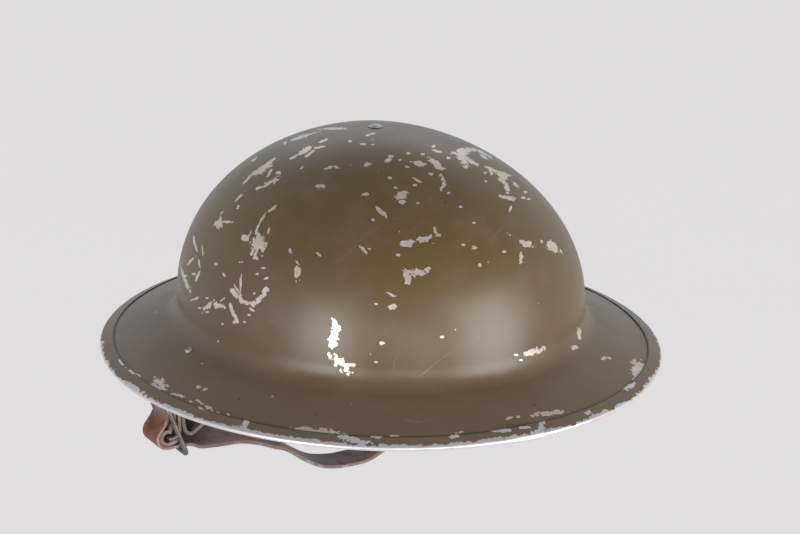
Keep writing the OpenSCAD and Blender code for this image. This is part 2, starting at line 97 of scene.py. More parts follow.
class ShellSize(bpy.types.PropertyGroup):
    """Section of the pressed shell and of its folded rim"""
    brim_w: length("Brim width", "Width of the brim over the rim band", 292 * MM)
    brim_l: length("Brim length", "Length of the brim over the rim band", 307 * MM)
    bowl_w: length("Bowl width", "Width of the bowl where its wall is upright", 209.6 * MM)
    bowl_l: length("Bowl length", "Length of the bowl where its wall is upright", 226.8 * MM)
    crown_h: length("Crown height", "Height of the crown above the rim", shell_top)
    crown_forward: length("Crown forward", "How far the crown sits in front of the middle", 5.8 * MM)
    sheet: length("Sheet", "Thickness of the pressed sheet", 1.1 * MM)
    slope: angle("Brim slope", "Slope of the brim below the horizontal", 21.5)
    bend: length("Bend", "Radius of the bend between bowl and brim", 12 * MM)
    crown_power: FloatProperty(name="Crown roundness", description="2 is an ellipse", default=1.86)
    wall_power: FloatProperty(name="Wall roundness", description="2 is an ellipse", default=2.09)
    band_w: length("Band width", "Width of the rim band seen from above", 7.6 * MM)
    band_t: length("Band sheet", "Thickness of the rim band's sheet", 0.6 * MM)
    band_end: angle("Band end", "Turn at which the band's outer end stops", 88.2)
    band_lap: angle("Band lap", "Turn over which the band's two ends lap", 5)
    gap: length("Gap", "Gap between sheets that lie on each other", 0.05 * MM)


class FittingSize(bpy.types.PropertyGroup):
    """Rivets, lugs, bails and the slide buckle"""
    crown_head: length("Crown head", "Diameter of the crown rivet's head", 7.6 * MM)
    crown_head_h: length("Crown head height", "Height of the crown rivet's head", 1.35 * MM)
    lug_head: length("Lug rivet head", "Diameter of a lug rivet's head", 5 * MM)
    lug_head_h: length("Lug rivet height", "Height of a lug rivet's head", 1.15 * MM)
    lug_w: length("Lug width", "Width of a lug", 12 * MM)
    lug_t: length("Lug sheet", "Thickness of a lug's sheet", 0.8 * MM)
    eye_reach: length("Eye reach", "Distance from a lug's rivet to its rolled eye", 12.7 * MM)
    wire: length("Wire", "Diameter of the wire of bails and buckle", 2.6 * MM)
    bail_h: length("Bail height", "Height of a bail from bar to bar", 15 * MM)
    slide_l: length("Slide length", "Distance between the slide buckle's outer bars", 28.3 * MM)
    slide_lean: angle("Slide lean", "Lean of the slide buckle from the vertical", 20.3)
    strap_head: length("Strap rivet head", "Diameter of a strap rivet's head", 6.6 * MM)


class SoftSize(bpy.types.PropertyGroup):
    """Leather, cloth, felt and rubber"""
    leather_w: length("Leather width", "Width of the chinstrap", 16.8 * MM)
    leather_t: length("Leather thickness", "Thickness of the chinstrap", 1.8 * MM)
    strap_drop: length("Strap drop", "Depth of the strap's lowest point below the bails", 57.1 * MM)
    tape_w: length("Tape width", "Width of a crown strap", 18 * MM)
    tape_t: length("Tape thickness", "Thickness of a crown strap", 1.4 * MM)
    pad: length("Pad", "Diameter of the felt crown pad", 64 * MM)
    pad_z: length("Pad height", "Height of the pad's underside above the rim", 95.5 * MM)
    lining_t: length("Lining thickness", "Thickness of the cloth lining", 1.2 * MM)
    lining_rise: length("Lining rise", "Height of the draw cord above the sweatband", 30 * MM)
    tongues: IntProperty(name="Tongues", description="Number of tongues in the lining", default=8)
    tongue_gap: length("Tongue gap", "Width of a slot between two tongues", 5 * MM)
    draw_r: length("Draw radius", "Radius of the hole that the draw cord keeps", 24 * MM)
    cord: length("Cord", "Diameter of the draw cord", 2.6 * MM)
    buffer: length("Buffer", "Diameter of a rubber buffer", 8 * MM)
    buffer_h: length("Buffer height", "Height of a rubber buffer", 18 * MM)
    buffers: IntProperty(name="Buffers", description="Number of rubber buffers", default=12)


class Finish(bpy.types.PropertyGroup):
    """Colours of the finishes"""
    paint: colour("Paint", "Drab paint", 74, 60, 46)
    # This olive is laid only in a band on the bowl: painted reflection, with the drabber crown and greyer
    # brim around it standing in for what they mirror
    paint_olive: colour("Fresh paint", "Paint where it is least handled", 75, 62, 26)
    paint_worn: colour("Worn paint", "Paint rubbed thin and greyer", 86, 72, 60)
    hairline: colour("Hairlines", "Fine scratches in the paint", 132, 118, 92)
    steel: colour("Bare steel", "Steel where paint has chipped off", 189, 186, 188)
    primer: colour("Old primer", "Cream-grey undercoat left on the steel", 184, 172, 161)
    # Along the rim band's inner edge this colour is painted shade in the gap between band and brim; the same
    # colour also darkens the soot specks
    steel_dull: colour("Dull steel", "Steel gone dull under old paint", 168, 158, 150)
    dirt_and_gap_shade: colour("Dirt", "Dark line where the rim band meets the brim", 34, 27, 20)
    wire: colour("Wire", "Dark finish of bails and buckle", 106, 95, 90)
    leather: colour("Leather", "Face of the chinstrap", 132, 117, 113)
    leather_worn: colour("Worn leather", "Leather rubbed red-brown on the outer loop", 104, 62, 48)
    leather_edge: colour("Leather edge", "Raw cut edge of the leather", 96, 80, 71)
    sweat: colour("Sweatband", "Brown leather of the sweatband", 118, 82, 56)
    oilcloth: colour("Oilcloth", "Black oilcloth lining", 40, 38, 36)
    tape: colour("Tape", "Cotton of the crown straps", 158, 146, 112)
    felt: colour("Felt", "Grey-brown wool felt", 128, 118, 100)
    rubber: colour("Rubber", "Aged red-brown rubber", 120, 68, 54)
    cotton: colour("Cord", "Cotton of the draw cord", 190, 180, 156)
    thread: colour("Thread", "Waxed thread of the seams", 172, 158, 128)
    backdrop: colour("Backdrop", "Paper behind the helmet", 226, 224, 225)


def settings(kind):
    return getattr(bpy.context.scene, kind)


def shaded(tint, share):
    """A colour made darker or paler by the same share in each channel"""
    return tuple(min(1, c * share) for c in tint[:3]) + (1,)


# Modelling by hand: one object in work at a time


def release():
    """Leaves edit mode and lets go of everything, the frame's own nodes included"""
    if bpy.context.mode != "OBJECT":
        bpy.ops.object.mode_set(mode="OBJECT")
    bpy.ops.object.select_all(action="DESELECT")


def take(piece):
    release()
    piece.select_set(True)
    bpy.context.view_layer.objects.active = piece
    return piece


def edit(piece):
    take(piece)
    bpy.ops.object.mode_set(mode="EDIT")
    bpy.ops.mesh.select_all(action="SELECT")


def named(name):
    piece = bpy.context.object
    piece.name = name
    piece.data.name = name
    return piece


def modify(piece, kind, **values):
    """Adds one modifier, sets it and applies it"""
    take(piece)
    bpy.ops.object.modifier_add(type=kind)
    modifier = piece.modifiers[-1]
    for key, value in values.items():
        setattr(modifier, key, value)
    bpy.ops.object.modifier_apply(modifier=modifier.name)
    return piece


def place(piece, location=(0, 0, 0), rotation=(0, 0, 0), scale=(1, 1, 1)):
    """Moves a piece and puts the move into its mesh"""
    take(piece)
    piece.location, piece.rotation_euler, piece.scale = location, rotation, scale
    bpy.ops.object.transform_apply(location=True, rotation=True, scale=True)
    return piece


def copy(piece, name):
    take(piece)
    bpy.ops.object.duplicate()
    return named(name)


def join(name, pieces):
    release()
    for piece in pieces:
        piece.select_set(True)
    bpy.context.view_layer.objects.active = pieces[0]
    if len(pieces) > 1:
        bpy.ops.object.join()
    return named(name)


def smooth_by(piece, least=40):
    """Shades a piece smooth but for edges sharper than some degrees"""
    take(piece)
    bpy.ops.object.shade_smooth_by_angle(angle=radians(least))
    return piece


def mark(piece, name, values, domain="POINT"):
    """A number for each vertex or face, which the materials read by its name"""
    piece.data.attributes.new(name, "FLOAT", domain).data.foreach_set("value", values)


def bump(piece, strength, size, seed=0):
    """Gentle hills and hollows in the mesh itself"""
    texture = bpy.data.textures.new(piece.name + "_hills", "CLOUDS")
    texture.noise_scale = size
    texture.noise_depth = 1
    place(piece, location=(seed, seed, seed))
    modify(piece, "DISPLACE", texture=texture, strength=strength, mid_level=0.5, texture_coords="LOCAL")
    return place(piece, location=(-seed, -seed, -seed))


def ring_start(name, ring, segments):
    """An oval ring of edges, the first of a stack: half width, half length, y and z"""
    release()
    bpy.ops.mesh.primitive_circle_add(vertices=segments, radius=1)
    piece = named(name)
    edit(piece)
    bpy.ops.transform.resize(value=(ring[0], ring[1], 1), center_override=(0, 0, 0))
    bpy.ops.transform.translate(value=(0, ring[2], ring[3]))
    return piece


def extrude(step):
    bpy.ops.mesh.extrude_region_move(TRANSFORM_OT_translate={"value": step})


def ring_next(old, new):
    extrude((0, new[2] - old[2], new[3] - old[3]))
    wider, longer = new[0] / old[0], new[1] / old[1]
    bpy.ops.transform.resize(value=(wider, longer, 1), center_override=(0, new[2], new[3]))


def ring_close(old, point):
    """Draws the last ring together in one point"""
    extrude((0, point[0] - old[2], point[1] - old[3]))
    bpy.ops.mesh.merge(type="CENTER")


def outwards(piece):
    edit(piece)
    bpy.ops.mesh.normals_make_consistent(inside=False)
    release()
    return piece


def stack(name, rings, segments, top=None, closed=False):
    """Piece raised ring by ring; top closes it in a point, closed joins the last ring to the first"""
    piece = ring_start(name, rings[0], segments)
    for old, new in zip(rings, rings[1:] + (rings[:1] if closed else [])):
        ring_next(old, new)
    if top:
        ring_close(rings[-1], top)
    if closed:
        bpy.ops.mesh.select_all(action="SELECT")
        bpy.ops.mesh.remove_doubles(threshold=WELD)
    return outwards(piece)


def vertex_start(name, point):
    """A mesh of one selected vertex"""
    release()
    bpy.ops.mesh.primitive_circle_add(vertices=3, radius=1)
    piece = named(name)
    edit(piece)
    bpy.ops.mesh.merge(type="CENTER")
    mesh = bmesh.from_edit_mesh(piece.data)
    mesh.verts.ensure_lookup_table()
    bpy.ops.transform.translate(value=Vector(point) - mesh.verts[0].co)
    return piece


def wire(name, points, radius, closed=False, sides=4):
    """Round wire along a path: a line of edges made into a curve with a round section"""
    piece = vertex_start(name, points[0])
    for old, new in zip(points, points[1:] + (points[:1] if closed else [])):
        extrude(Vector(new) - Vector(old))
    if closed:
        bpy.ops.mesh.select_all(action="SELECT")
        bpy.ops.mesh.remove_doubles(threshold=WELD)
    take(piece)
    bpy.ops.object.convert(target="CURVE")
    curve = bpy.context.object
    curve.data.bevel_depth = radius
    curve.data.bevel_resolution = sides
    curve.data.use_fill_caps = not closed
    bpy.ops.object.convert(target="MESH")
    piece = named(name)
    edit(piece)
    bpy.ops.mesh.remove_doubles(threshold=WELD)
    return smooth_by(outwards(piece), 50)


def ribbon(name, path, width, thickness, columns=8, rounding=0.45 * MM):
    """Flat strip of even width whose edge follows a path of x and z"""
    piece = vertex_start(name, (path[0][0], -width / 2, path[0][1]))
    extrude((0, width, 0))
    bpy.ops.mesh.select_all(action="SELECT")
    bpy.ops.mesh.subdivide(number_cuts=columns - 1)
    for old, new in zip(path, path[1:]):
        extrude((new[0] - old[0], 0, new[1] - old[1]))
    release()
    modify(piece, "SOLIDIFY", thickness=thickness, offset=0, use_even_offset=True)
    outwards(piece)
    mark_edges(piece)
    modify(piece, "BEVEL", width=rounding, segments=3, limit_method="ANGLE", angle_limit=radians(60))
    return smooth_by(piece, 50)


def mark_edges(piece, axis=1, least=0.9):
    """Marks the raw cut sides of a strip, which face along one axis"""
    mark(piece, "cut_edge", [float(abs(face.normal[axis]) > least) for face in piece.data.polygons], "FACE")


def pick(piece, kind, wanted):
    """Selects those edges or faces of a piece that a test wants"""
    edit(piece)
    bpy.ops.mesh.select_all(action="DESELECT")
    bpy.ops.mesh.select_mode(type=kind)
    mesh = bmesh.from_edit_mesh(piece.data)
    for item in mesh.faces if kind == "FACE" else mesh.edges:
        item.select = wanted(item)
    bmesh.update_edit_mesh(piece.data)


def fill_holes(piece):
    """Closes what is still open in a piece with one face"""
    pick(piece, "EDGE", lambda edge: edge.is_boundary)
    bpy.ops.mesh.edge_face_add()
    bpy.ops.mesh.select_mode(type="VERT")
    return outwards(piece)


def set_round(name, piece, count, rx, ry, z, off=0.0, first=0.0, turned=True):
    """Copies of a piece set round an oval, off it by a distance, and turned to face outwards if asked"""
    made = []
    for i in range(count):
        turn = 2 * pi * (i + first) / count
        heading = atan2(sin(turn) / ry, cos(turn) / rx)
        at = (rx * cos(turn) + off * cos(heading), ry * sin(turn) + off * sin(heading), z)
        made.append(place(copy(piece, "%s_%d" % (piece.name, i)), at, (0, 0, heading if turned else 0)))
    bpy.data.objects.remove(piece)
    return join(name, made)


def dome(name, radius, height, dimple=0.0, segments=40):
    """Low rivet head with a rolled edge, its flat side on z = 0; a dimple sinks its middle"""
    ball = (radius * radius + height * height) / (2 * height)
    rings = [(radius * 0.96, 0.0)]
    for share in (0.995, 0.985, 0.94, 0.86, 0.75, 0.62, 0.48, 0.34, 0.2, 0.08):
        r = radius * share
        z = height - ball + (ball * ball - r * r) ** 0.5
        z -= dimple * max(0.0, 1 - (share / 0.55) ** 2) ** 2
        rings.append((r, max(z, height * 0.12)))
    foot = [(0.02 * radius, 0.0), (radius * 0.5, 0.0)] + rings
    piece = stack(name, [(r, r, 0, z) for r, z in foot], segments, top=(0, height - dimple))
    return smooth_by(fill_holes(piece), 60)


# Section of the shell, as pairs of radius and height


class Section:
    """The pressed shell's outer face from side to side and its ovals"""

    def __init__(self):
        s = settings("helmet_shell")
        self.s = s
        self.fold = s.sheet + 2 * s.band_t + 2 * s.gap
        self.edge_r = s.brim_w / 2 - self.fold / 2
        self.wall_r = s.bowl_w / 2
        self.bend_out = self.wall_r + s.bend * (1 - sin(s.slope))
        self.wall_z = self.brim_z(self.bend_out) + s.bend * cos(s.slope)
        self.rise = s.crown_h - self.wall_z

    def brim_z(self, r):
        return self.s.sheet / 2 / cos(self.s.slope) + (self.edge_r - r) * tan(self.s.slope)

    def bowl(self, w):
        return (self.wall_r * cos(w) ** (2 / self.s.crown_power),
                self.wall_z + self.rise * sin(w) ** (2 / self.s.wall_power))

    def face(self, bowl_steps=64, bend_steps=12, brim_steps=14):
        """Outer face from the edge of the brim up to the last ring under the crown"""
        out = self.edge_r + self.s.sheet / 2 * sin(self.s.slope)
        points = [(out + (self.bend_out - out) * i / brim_steps,) for i in range(brim_steps + 1)]
        points = [(r, self.brim_z(r)) for r, in points]
        for i in range(1, bend_steps + 1):
            a = (pi / 2 - self.s.slope) * (1 - i / bend_steps)
            points.append((self.wall_r + self.s.bend * (1 - cos(a)), self.wall_z - self.s.bend * sin(a)))
        for i in range(1, bowl_steps):
            points.append(self.bowl(pi / 2 * i / bowl_steps))
        return points

    def half_l(self, r):
        s = self.s
        if r < self.wall_r:
            return r * s.bowl_l / s.bowl_w
        return s.bowl_l / 2 + (r - self.wall_r) * (s.brim_l - s.bowl_l) / (s.brim_w - s.bowl_w)

    def lean(self, z):
        return -self.s.crown_forward * (max(0.0, z - self.wall_z) / self.rise) ** 2

    def ring(self, r, z):
        return (r, self.half_l(r), self.lean(z), z)

    def inward(self, depth):
        """The outer face from the crown down to the bend, moved inwards"""
        steps = 64
        points = [(0.0, self.s.crown_h)] + [self.bowl(pi / 2 * (1 - i / steps)) for i in range(1, steps + 1)]
        inner = moved(points, -depth)
        inner[0] = (0.0, self.s.crown_h - depth)
        return inner


# Paths in a plane


def unit(x, z):
    n = hypot(x, z)
    return x / n, z / n


def moved(path, d):
    """A path moved to its left by d"""
    out = []
    for i, (x, z) in enumerate(path):
        a, b = path[max(i - 1, 0)], path[min(i + 1, len(path) - 1)]
        tx, tz = unit(b[0] - a[0], b[1] - a[1])
        out.append((x - d * tz, z + d * tx))
    return out


def smooth(points, n):
    """Even curve through stations, n points to a stretch, without the last one"""
    out = []
    last = len(points) - 1
    for i in range(last):
        a, b, c, d = points[max(i - 1, 0)], points[i], points[i + 1], points[min(i + 2, last)]
        for t in (k / n for k in range(n)):
            out.append(tuple(0.5 * (2 * q + (r - p) * t + (2 * p - 5 * q + 4 * r - s) * t * t
                                    + (3 * q - 3 * r + s - p) * t ** 3) for p, q, r, s in zip(a, b, c, d)))
    return out


def arc(centre, r, start, end, n):
    return [(centre[0] + r * cos(radians(start + i * (end - start) / n)),
             centre[1] + r * sin(radians(start + i * (end - start) / n))) for i in range(n + 1)]


def rounded(corners, bend, n=6, closed=False):
    """A path of straight stretches whose corners are eased by short arcs, in space"""
    out = []
    count = len(corners)
    for i, corner in enumerate(corners):
        here = Vector(corner)
        if not closed and i in (0, count - 1):
            out.append(here)
            continue
        before = (Vector(corners[i - 1]) - here).normalized() * bend
        after = (Vector(corners[(i + 1) % count]) - here).normalized() * bend
        for k in range(n + 1):
            t = pi / 2 * k / n
            out.append(here + before * (1 - sin(t)) + after * (1 - cos(t)))
    return out


# The photograph's view, and the places on the helmet that its pixels show


PHOTO_W, PHOTO_H = 800, 534
VIEW_TURN, VIEW_RISE, VIEW_ROLL = radians(147.91), radians(20.03), radians(0.54)
VIEW_DISTANCE = 1.0
LENS, SENSOR = 84.4, 36.0
SHIFT_X, SHIFT_Y = 0.026, 0.0865


def outward(turn, rise):
    """Direction from the helmet to a viewer or a lamp, 0 being straight in front and level"""
    return Vector((sin(turn) * cos(rise), -cos(turn) * cos(rise), sin(rise)))


def view_matrix():
    away = Matrix.Translation(outward(VIEW_TURN, VIEW_RISE) * VIEW_DISTANCE)
    turned = Matrix.Rotation(VIEW_TURN, 4, "Z") @ Matrix.Rotation(pi / 2 - VIEW_RISE, 4, "X")
    return away @ turned @ Matrix.Rotation(VIEW_ROLL, 4, "Z")


def sight(px, py):
    """Start and direction of the line of sight through a pixel of the photograph"""
    x = ((px - PHOTO_W / 2) / PHOTO_W + SHIFT_X) * SENSOR / LENS
    y = ((PHOTO_H / 2 - py) / PHOTO_W + SHIFT_Y) * SENSOR / LENS
    view = view_matrix()
    return view.translation, (view.to_3x3() @ Vector((x, y, -1))).normalized()


# Chips in the paint, each a stroke of the photograph: two ends and half the stroke's width, in pixels
CHIPS = [
    # Left shoulder of the crown
    (283, 143, 316, 132, 1.5), (320, 129, 345, 128, 1.3), (320, 142, 327, 139, 1.2),
    (290, 159, 296, 156, 1.2), (299, 154, 310, 148, 2.3), (306, 156, 315, 150, 1.5),
    (314, 148, 325, 146, 1.2), (252, 161, 256, 158, 1.1), (243, 184, 250, 177, 1.3),
    (247, 178, 270, 165, 2.8), (262, 168, 275, 158, 1.4), (267, 178, 271, 170, 1.4),
    (278, 173, 280, 173, 1.3), (256, 189, 264, 186, 1.6), (264, 186, 276, 179, 2.4),
    (300, 169, 303, 167, 1.2), (326, 169, 333, 166, 1.2), (333, 166, 340, 168, 1.2),
    (317, 186, 323, 186, 1.9), (235, 202, 243, 193, 1.2), (237, 209, 239, 206, 1.1),
    (218, 229, 222, 212, 2.2), (219, 222, 232, 222, 1.4), (217, 223, 221, 223, 4.2),
    (276, 206, 265, 214, 1.4), (265, 214, 258, 226, 1.2), (258, 226, 255, 235, 1.4),
    (258, 240, 258, 247, 7.4), (251, 255, 254, 249, 1.8), (243, 238, 247, 238, 2.8),
    (255, 258, 257, 258, 2.2), (269, 229, 268, 233, 1.1),
    # Left wall
    (240, 262, 242, 262, 1.2), (214, 264, 216, 264, 1.2), (289, 248, 291, 252, 1.2),
    (317, 253, 320, 256, 1.4), (297, 263, 297, 277, 3.4), (262, 268, 264, 268, 1.2),
    (265, 279, 267, 278, 1.1), (256, 274, 258, 274, 1.2), (241, 275, 240, 296, 1.2),
    (231, 289, 239, 298, 2.7), (239, 298, 243, 303, 2.8), (243, 303, 253, 303, 2.7),
    (235, 286, 240, 294, 1.4), (254, 306, 261, 298, 2.6), (259, 300, 268, 290, 2.8),
    (264, 291, 269, 290, 3.2), (253, 294, 255, 293, 1.2), (249, 308, 254, 311, 1.2),
    (229, 303, 236, 320, 1.7), (235, 322, 237, 322, 2.2), (243, 322, 245, 322, 1.1),
    (249, 315, 251, 315, 1.1), (214, 305, 222, 306, 2.7), (220, 302, 223, 299, 1.2),
    (205, 309, 211, 303, 2.7), (206, 312, 208, 312, 1.2), (199, 308, 201, 308, 1.1),
    (206, 298, 208, 298, 1.1), (192, 300, 197, 298, 1.2), (221, 324, 223, 324, 1.1),
    (193, 235, 196, 250, 1.1), (202, 246, 203, 255, 1.0), (187, 265, 193, 258, 1.2),
    (198, 258, 200, 267, 1.0), (193, 274, 195, 274, 1.2), (195, 281, 199, 273, 1.2),
    (181, 268, 187, 288, 1.5), (184, 276, 186, 276, 1.3), (223, 273, 225, 277, 1.1),
    # Crown and the slope towards the viewer
    (363, 194, 367, 194, 2.3), (364, 166, 370, 163, 2.3), (370, 145, 375, 144, 0.9),
    (361, 144, 366, 144, 1.2), (349, 141, 351, 141, 0.9), (365, 136, 369, 135, 0.9),
    (370, 134, 377, 133, 0.9), (386, 161, 391, 158, 2.0), (388, 156, 392, 156, 1.3),
    (399, 160, 401, 160, 1.3), (407, 167, 409, 167, 1.3), (407, 153, 409, 153, 1.3),
    (422, 154, 424, 154, 1.3), (433, 146, 435, 146, 1.3), (432, 150, 441, 152, 1.5),
    (415, 163, 426, 165, 2.4), (432, 160, 441, 168, 3.2), (447, 158, 449, 158, 1.2),
    (389, 178, 391, 178, 1.3), (395, 188, 397, 188, 1.3), (398, 196, 404, 194, 3.6),
    (401, 202, 403, 202, 2.2), (415, 179, 421, 182, 1.3), (414, 185, 416, 185, 1.2),
    (417, 203, 419, 203, 1.3), (430, 174, 432, 174, 1.2), (442, 177, 445, 182, 2.3),
    (445, 182, 442, 188, 2.3), (448, 193, 450, 193, 1.2), (459, 207, 461, 207, 1.2),
    (474, 223, 476, 223, 1.2), (378, 208, 389, 220, 2.1), (361, 247, 366, 252, 1.7),
    (369, 249, 371, 249, 1.2),
    # Middle of the dome
    (435, 229, 436, 235, 1.7), (436, 235, 439, 235, 1.5), (417, 241, 428, 238, 3.4),
    (404, 244, 412, 243, 3.4), (397, 255, 399, 255, 1.2), (474, 248, 476, 248, 2.0),
    (462, 245, 464, 245, 1.2), (503, 252, 505, 252, 1.2), (406, 270, 409, 283, 4.2),
    (410, 274, 425, 270, 3.8), (388, 293, 395, 297, 1.5), (392, 307, 394, 307, 2.8),
    (381, 343, 383, 343, 1.4), (375, 304, 377, 304, 1.1), (441, 337, 443, 337, 1.2),
    (375, 362, 377, 362, 1.2), (334, 323, 336, 330, 4.0), (336, 330, 333, 342, 5.0),
    (334, 358, 345, 367, 5.0), (343, 364, 355, 365, 1.8),
    # Right shoulder of the crown and right wall
    (457, 151, 476, 150, 3.2), (460, 155, 465, 163, 4.6), (464, 158, 478, 165, 2.5),
    (480, 154, 488, 160, 1.4), (478, 150, 492, 158, 1.4), (484, 166, 500, 173, 1.5),
    (498, 173, 507, 177, 3.6), (499, 178, 506, 184, 2.6), (506, 184, 508, 192, 2.3),
    (490, 170, 492, 174, 1.2), (500, 196, 515, 199, 2.4), (514, 183, 518, 187, 1.3),
    (524, 192, 526, 192, 1.2), (522, 198, 524, 198, 1.2), (528, 199, 530, 199, 1.2),
    (511, 207, 509, 213, 1.2), (484, 173, 486, 173, 1.2), (485, 181, 487, 181, 1.2),
    (464, 167, 466, 167, 1.2), (522, 242, 531, 245, 2.9), (521, 255, 521, 262, 2.6),
    (548, 243, 558, 251, 4.2), (524, 354, 542, 349, 3.2), (520, 360, 522, 360, 1.2),
    (515, 355, 517, 355, 1.2), (579, 329, 579, 337, 2.0), (574, 348, 577, 347, 2.2),
    # Brim
    (602, 358, 608, 358, 2.0), (638, 367, 638, 372, 7.4), (625, 388, 633, 385, 3.0),
    (507, 419, 513, 417, 1.4), (517, 417, 519, 417, 1.2), (535, 415, 567, 411, 2.5),
    (152, 386, 164, 389, 2.4), (156, 381, 163, 384, 4.6), (120, 361, 124, 366, 1.4),
    (129, 370, 135, 373, 1.6), (135, 374, 141, 377, 1.4), (197, 387, 199, 387, 1.7),
    (204, 389, 206, 389, 1.7),
    # Rim band
    (293, 430, 336, 433, 3.4), (340, 437, 361, 440, 2.4), (372, 436, 379, 437, 1.9),
    (390, 436, 397, 436, 1.4), (452, 437, 457, 436, 3.0), (457, 433, 464, 432, 1.6),
    (491, 431, 511, 430, 1.7), (521, 428, 531, 427, 1.2), (246, 419, 244, 426, 3.4),
    (587, 413, 590, 412, 2.0), (603, 412, 606, 411, 2.0), (542, 427, 542, 435, 4.2),
    (196, 400, 203, 404, 1.6), (206, 406, 212, 409, 1.2), (172, 394, 183, 396, 1.4),
    (190, 401, 192, 402, 1.3), (198, 406, 203, 409, 1.3), (206, 409, 208, 409, 1.1),
    (211, 410, 213, 411, 1.2), (217, 412, 219, 413, 1.1), (227, 414, 229, 415, 1.1),
    (345, 440, 370, 443, 2.6),
]
# Stands for no chip within reach, in millimetres and in half axes of a chip
FAR = 9.0
# The chips nearest to a face of the mesh, each kept in an attribute of its own
LAYERS = ("chip_a", "chip_b", "chip_c")


def chip_frames(targets):
    """For each target piece, the chips that the lines of sight put on it: middle, two half axes, normal"""
    longest = 20 * MM
    graph = bpy.context.evaluated_depsgraph_get()
    trees = [BVHTree.FromObject(piece, graph) for piece in targets]
    frames = [[] for _ in targets]

    def strike(px, py):
        start, way = sight(px, py)
        hits = [(tree.ray_cast(start, way), i) for i, tree in enumerate(trees)]
        hits = [(hit[3], i, hit[0], hit[1]) for hit, i in hits if hit[0] is not None]
        return min(hits, key=lambda h: h[0])[1:] if hits else None

    def half_axis(middle, px, py, dx, dy):
        """Half of a chip's length or width on the surface, for a step of dx and dy in the photograph"""
        steps = []
        for sign in (1, -1):
            hit = strike(px + sign * dx, py + sign * dy)
            if hit and hit[0] == middle[0] and (hit[1] - middle[1]).length < longest:
                steps.append(sign * (hit[1] - middle[1]))
        if not steps:
            return None
        step = sum(steps, Vector()) / len(steps)
        return step - middle[2] * step.dot(middle[2])

    for x0, y0, x1, y1, half in CHIPS:
        px, py, dx, dy = (x0 + x1) / 2, (y0 + y1) / 2, (x1 - x0) / 2, (y1 - y0) / 2
        middle = strike(px, py)
        if not middle:
            continue
        reach = hypot(dx, dy)
        along = half_axis(middle, px, py, dx * (1 + half / reach), dy * (1 + half / reach))
        side = half_axis(middle, px, py, -dy * half / reach, dx * half / reach)
        if along and side:
            frames[middle[0]].append((middle[1], along, side, middle[2]))
    return frames


def read(items, key, kind=float, width=1):
    """One property of all the items of a mesh, as an array"""
    values = np.zeros(len(items) * width, kind)
    items.foreach_get(key, values)
    return values.reshape(-1, width) if width > 1 else values


def chip_attributes(piece, frames):
    """Writes the nearest chips of each face as its corners' places in those chips"""
    mesh = piece.data
    count = len(mesh.polygons)
    margin, facing = 8 * MM, 0.3
    corner_verts = read(mesh.loops, "vertex_index", int)
    places = read(mesh.vertices, "co", width=3)
    centres, normals = read(mesh.polygons, "center", width=3), read(mesh.polygons, "normal", width=3)
    owner = np.repeat(np.arange(count), read(mesh.polygons, "loop_total", int))
    near = np.full((count, len(LAYERS)), FAR * MM)
    chip_of = np.full((count, len(LAYERS)), -1)
    chips = []
    for number, (middle, along, side, normal) in enumerate(frames):
        tilt = along.cross(side).dot(normal)
        across, down = side.cross(normal) / tilt, normal.cross(along) / tilt
        radius = min(along.length, side.length, abs(tilt) / max(along.length, side.length))
        chips.append((np.array(middle), np.array(across), np.array(down), radius))
        away = centres - chips[-1][0]
        gap = (np.hypot(away @ chips[-1][1], away @ chips[-1][2]) - 1) * radius
        gap[(normals @ np.array(normal)) < facing] = 1
        gap[np.linalg.norm(away, axis=1) > max(along.length, side.length) + margin] = 1
        new = np.full(count, number)
        for layer in range(len(LAYERS)):
            closer = gap < near[:, layer]
            gap, near[:, layer] = (np.where(closer, near[:, layer], gap),
                                   np.where(closer, gap, near[:, layer]))
            new, chip_of[:, layer] = (np.where(closer, chip_of[:, layer], new),
                                      np.where(closer, new, chip_of[:, layer]))
    away = np.array(view_matrix().col[2][:3])
    mark(piece, "unseen", np.clip(0.6 - 3 * (normals @ away), 0, 1).astype(np.float32), "FACE")
    for layer, name in enumerate(LAYERS):
        data = np.full((len(corner_verts), 3), FAR)
        chip = chip_of[owner, layer]
        for number, (middle, across, down, radius) in enumerate(chips):
            mine = chip == number
            away = places[corner_verts[mine]] - middle
            data[mine, 0], data[mine, 1], data[mine, 2] = away @ across, away @ down, radius / MM
        attribute = mesh.attributes.new(name, "FLOAT_VECTOR", "CORNER")
        attribute.data.foreach_set("vector", data.astype(np.float32).ravel())


# Node trees


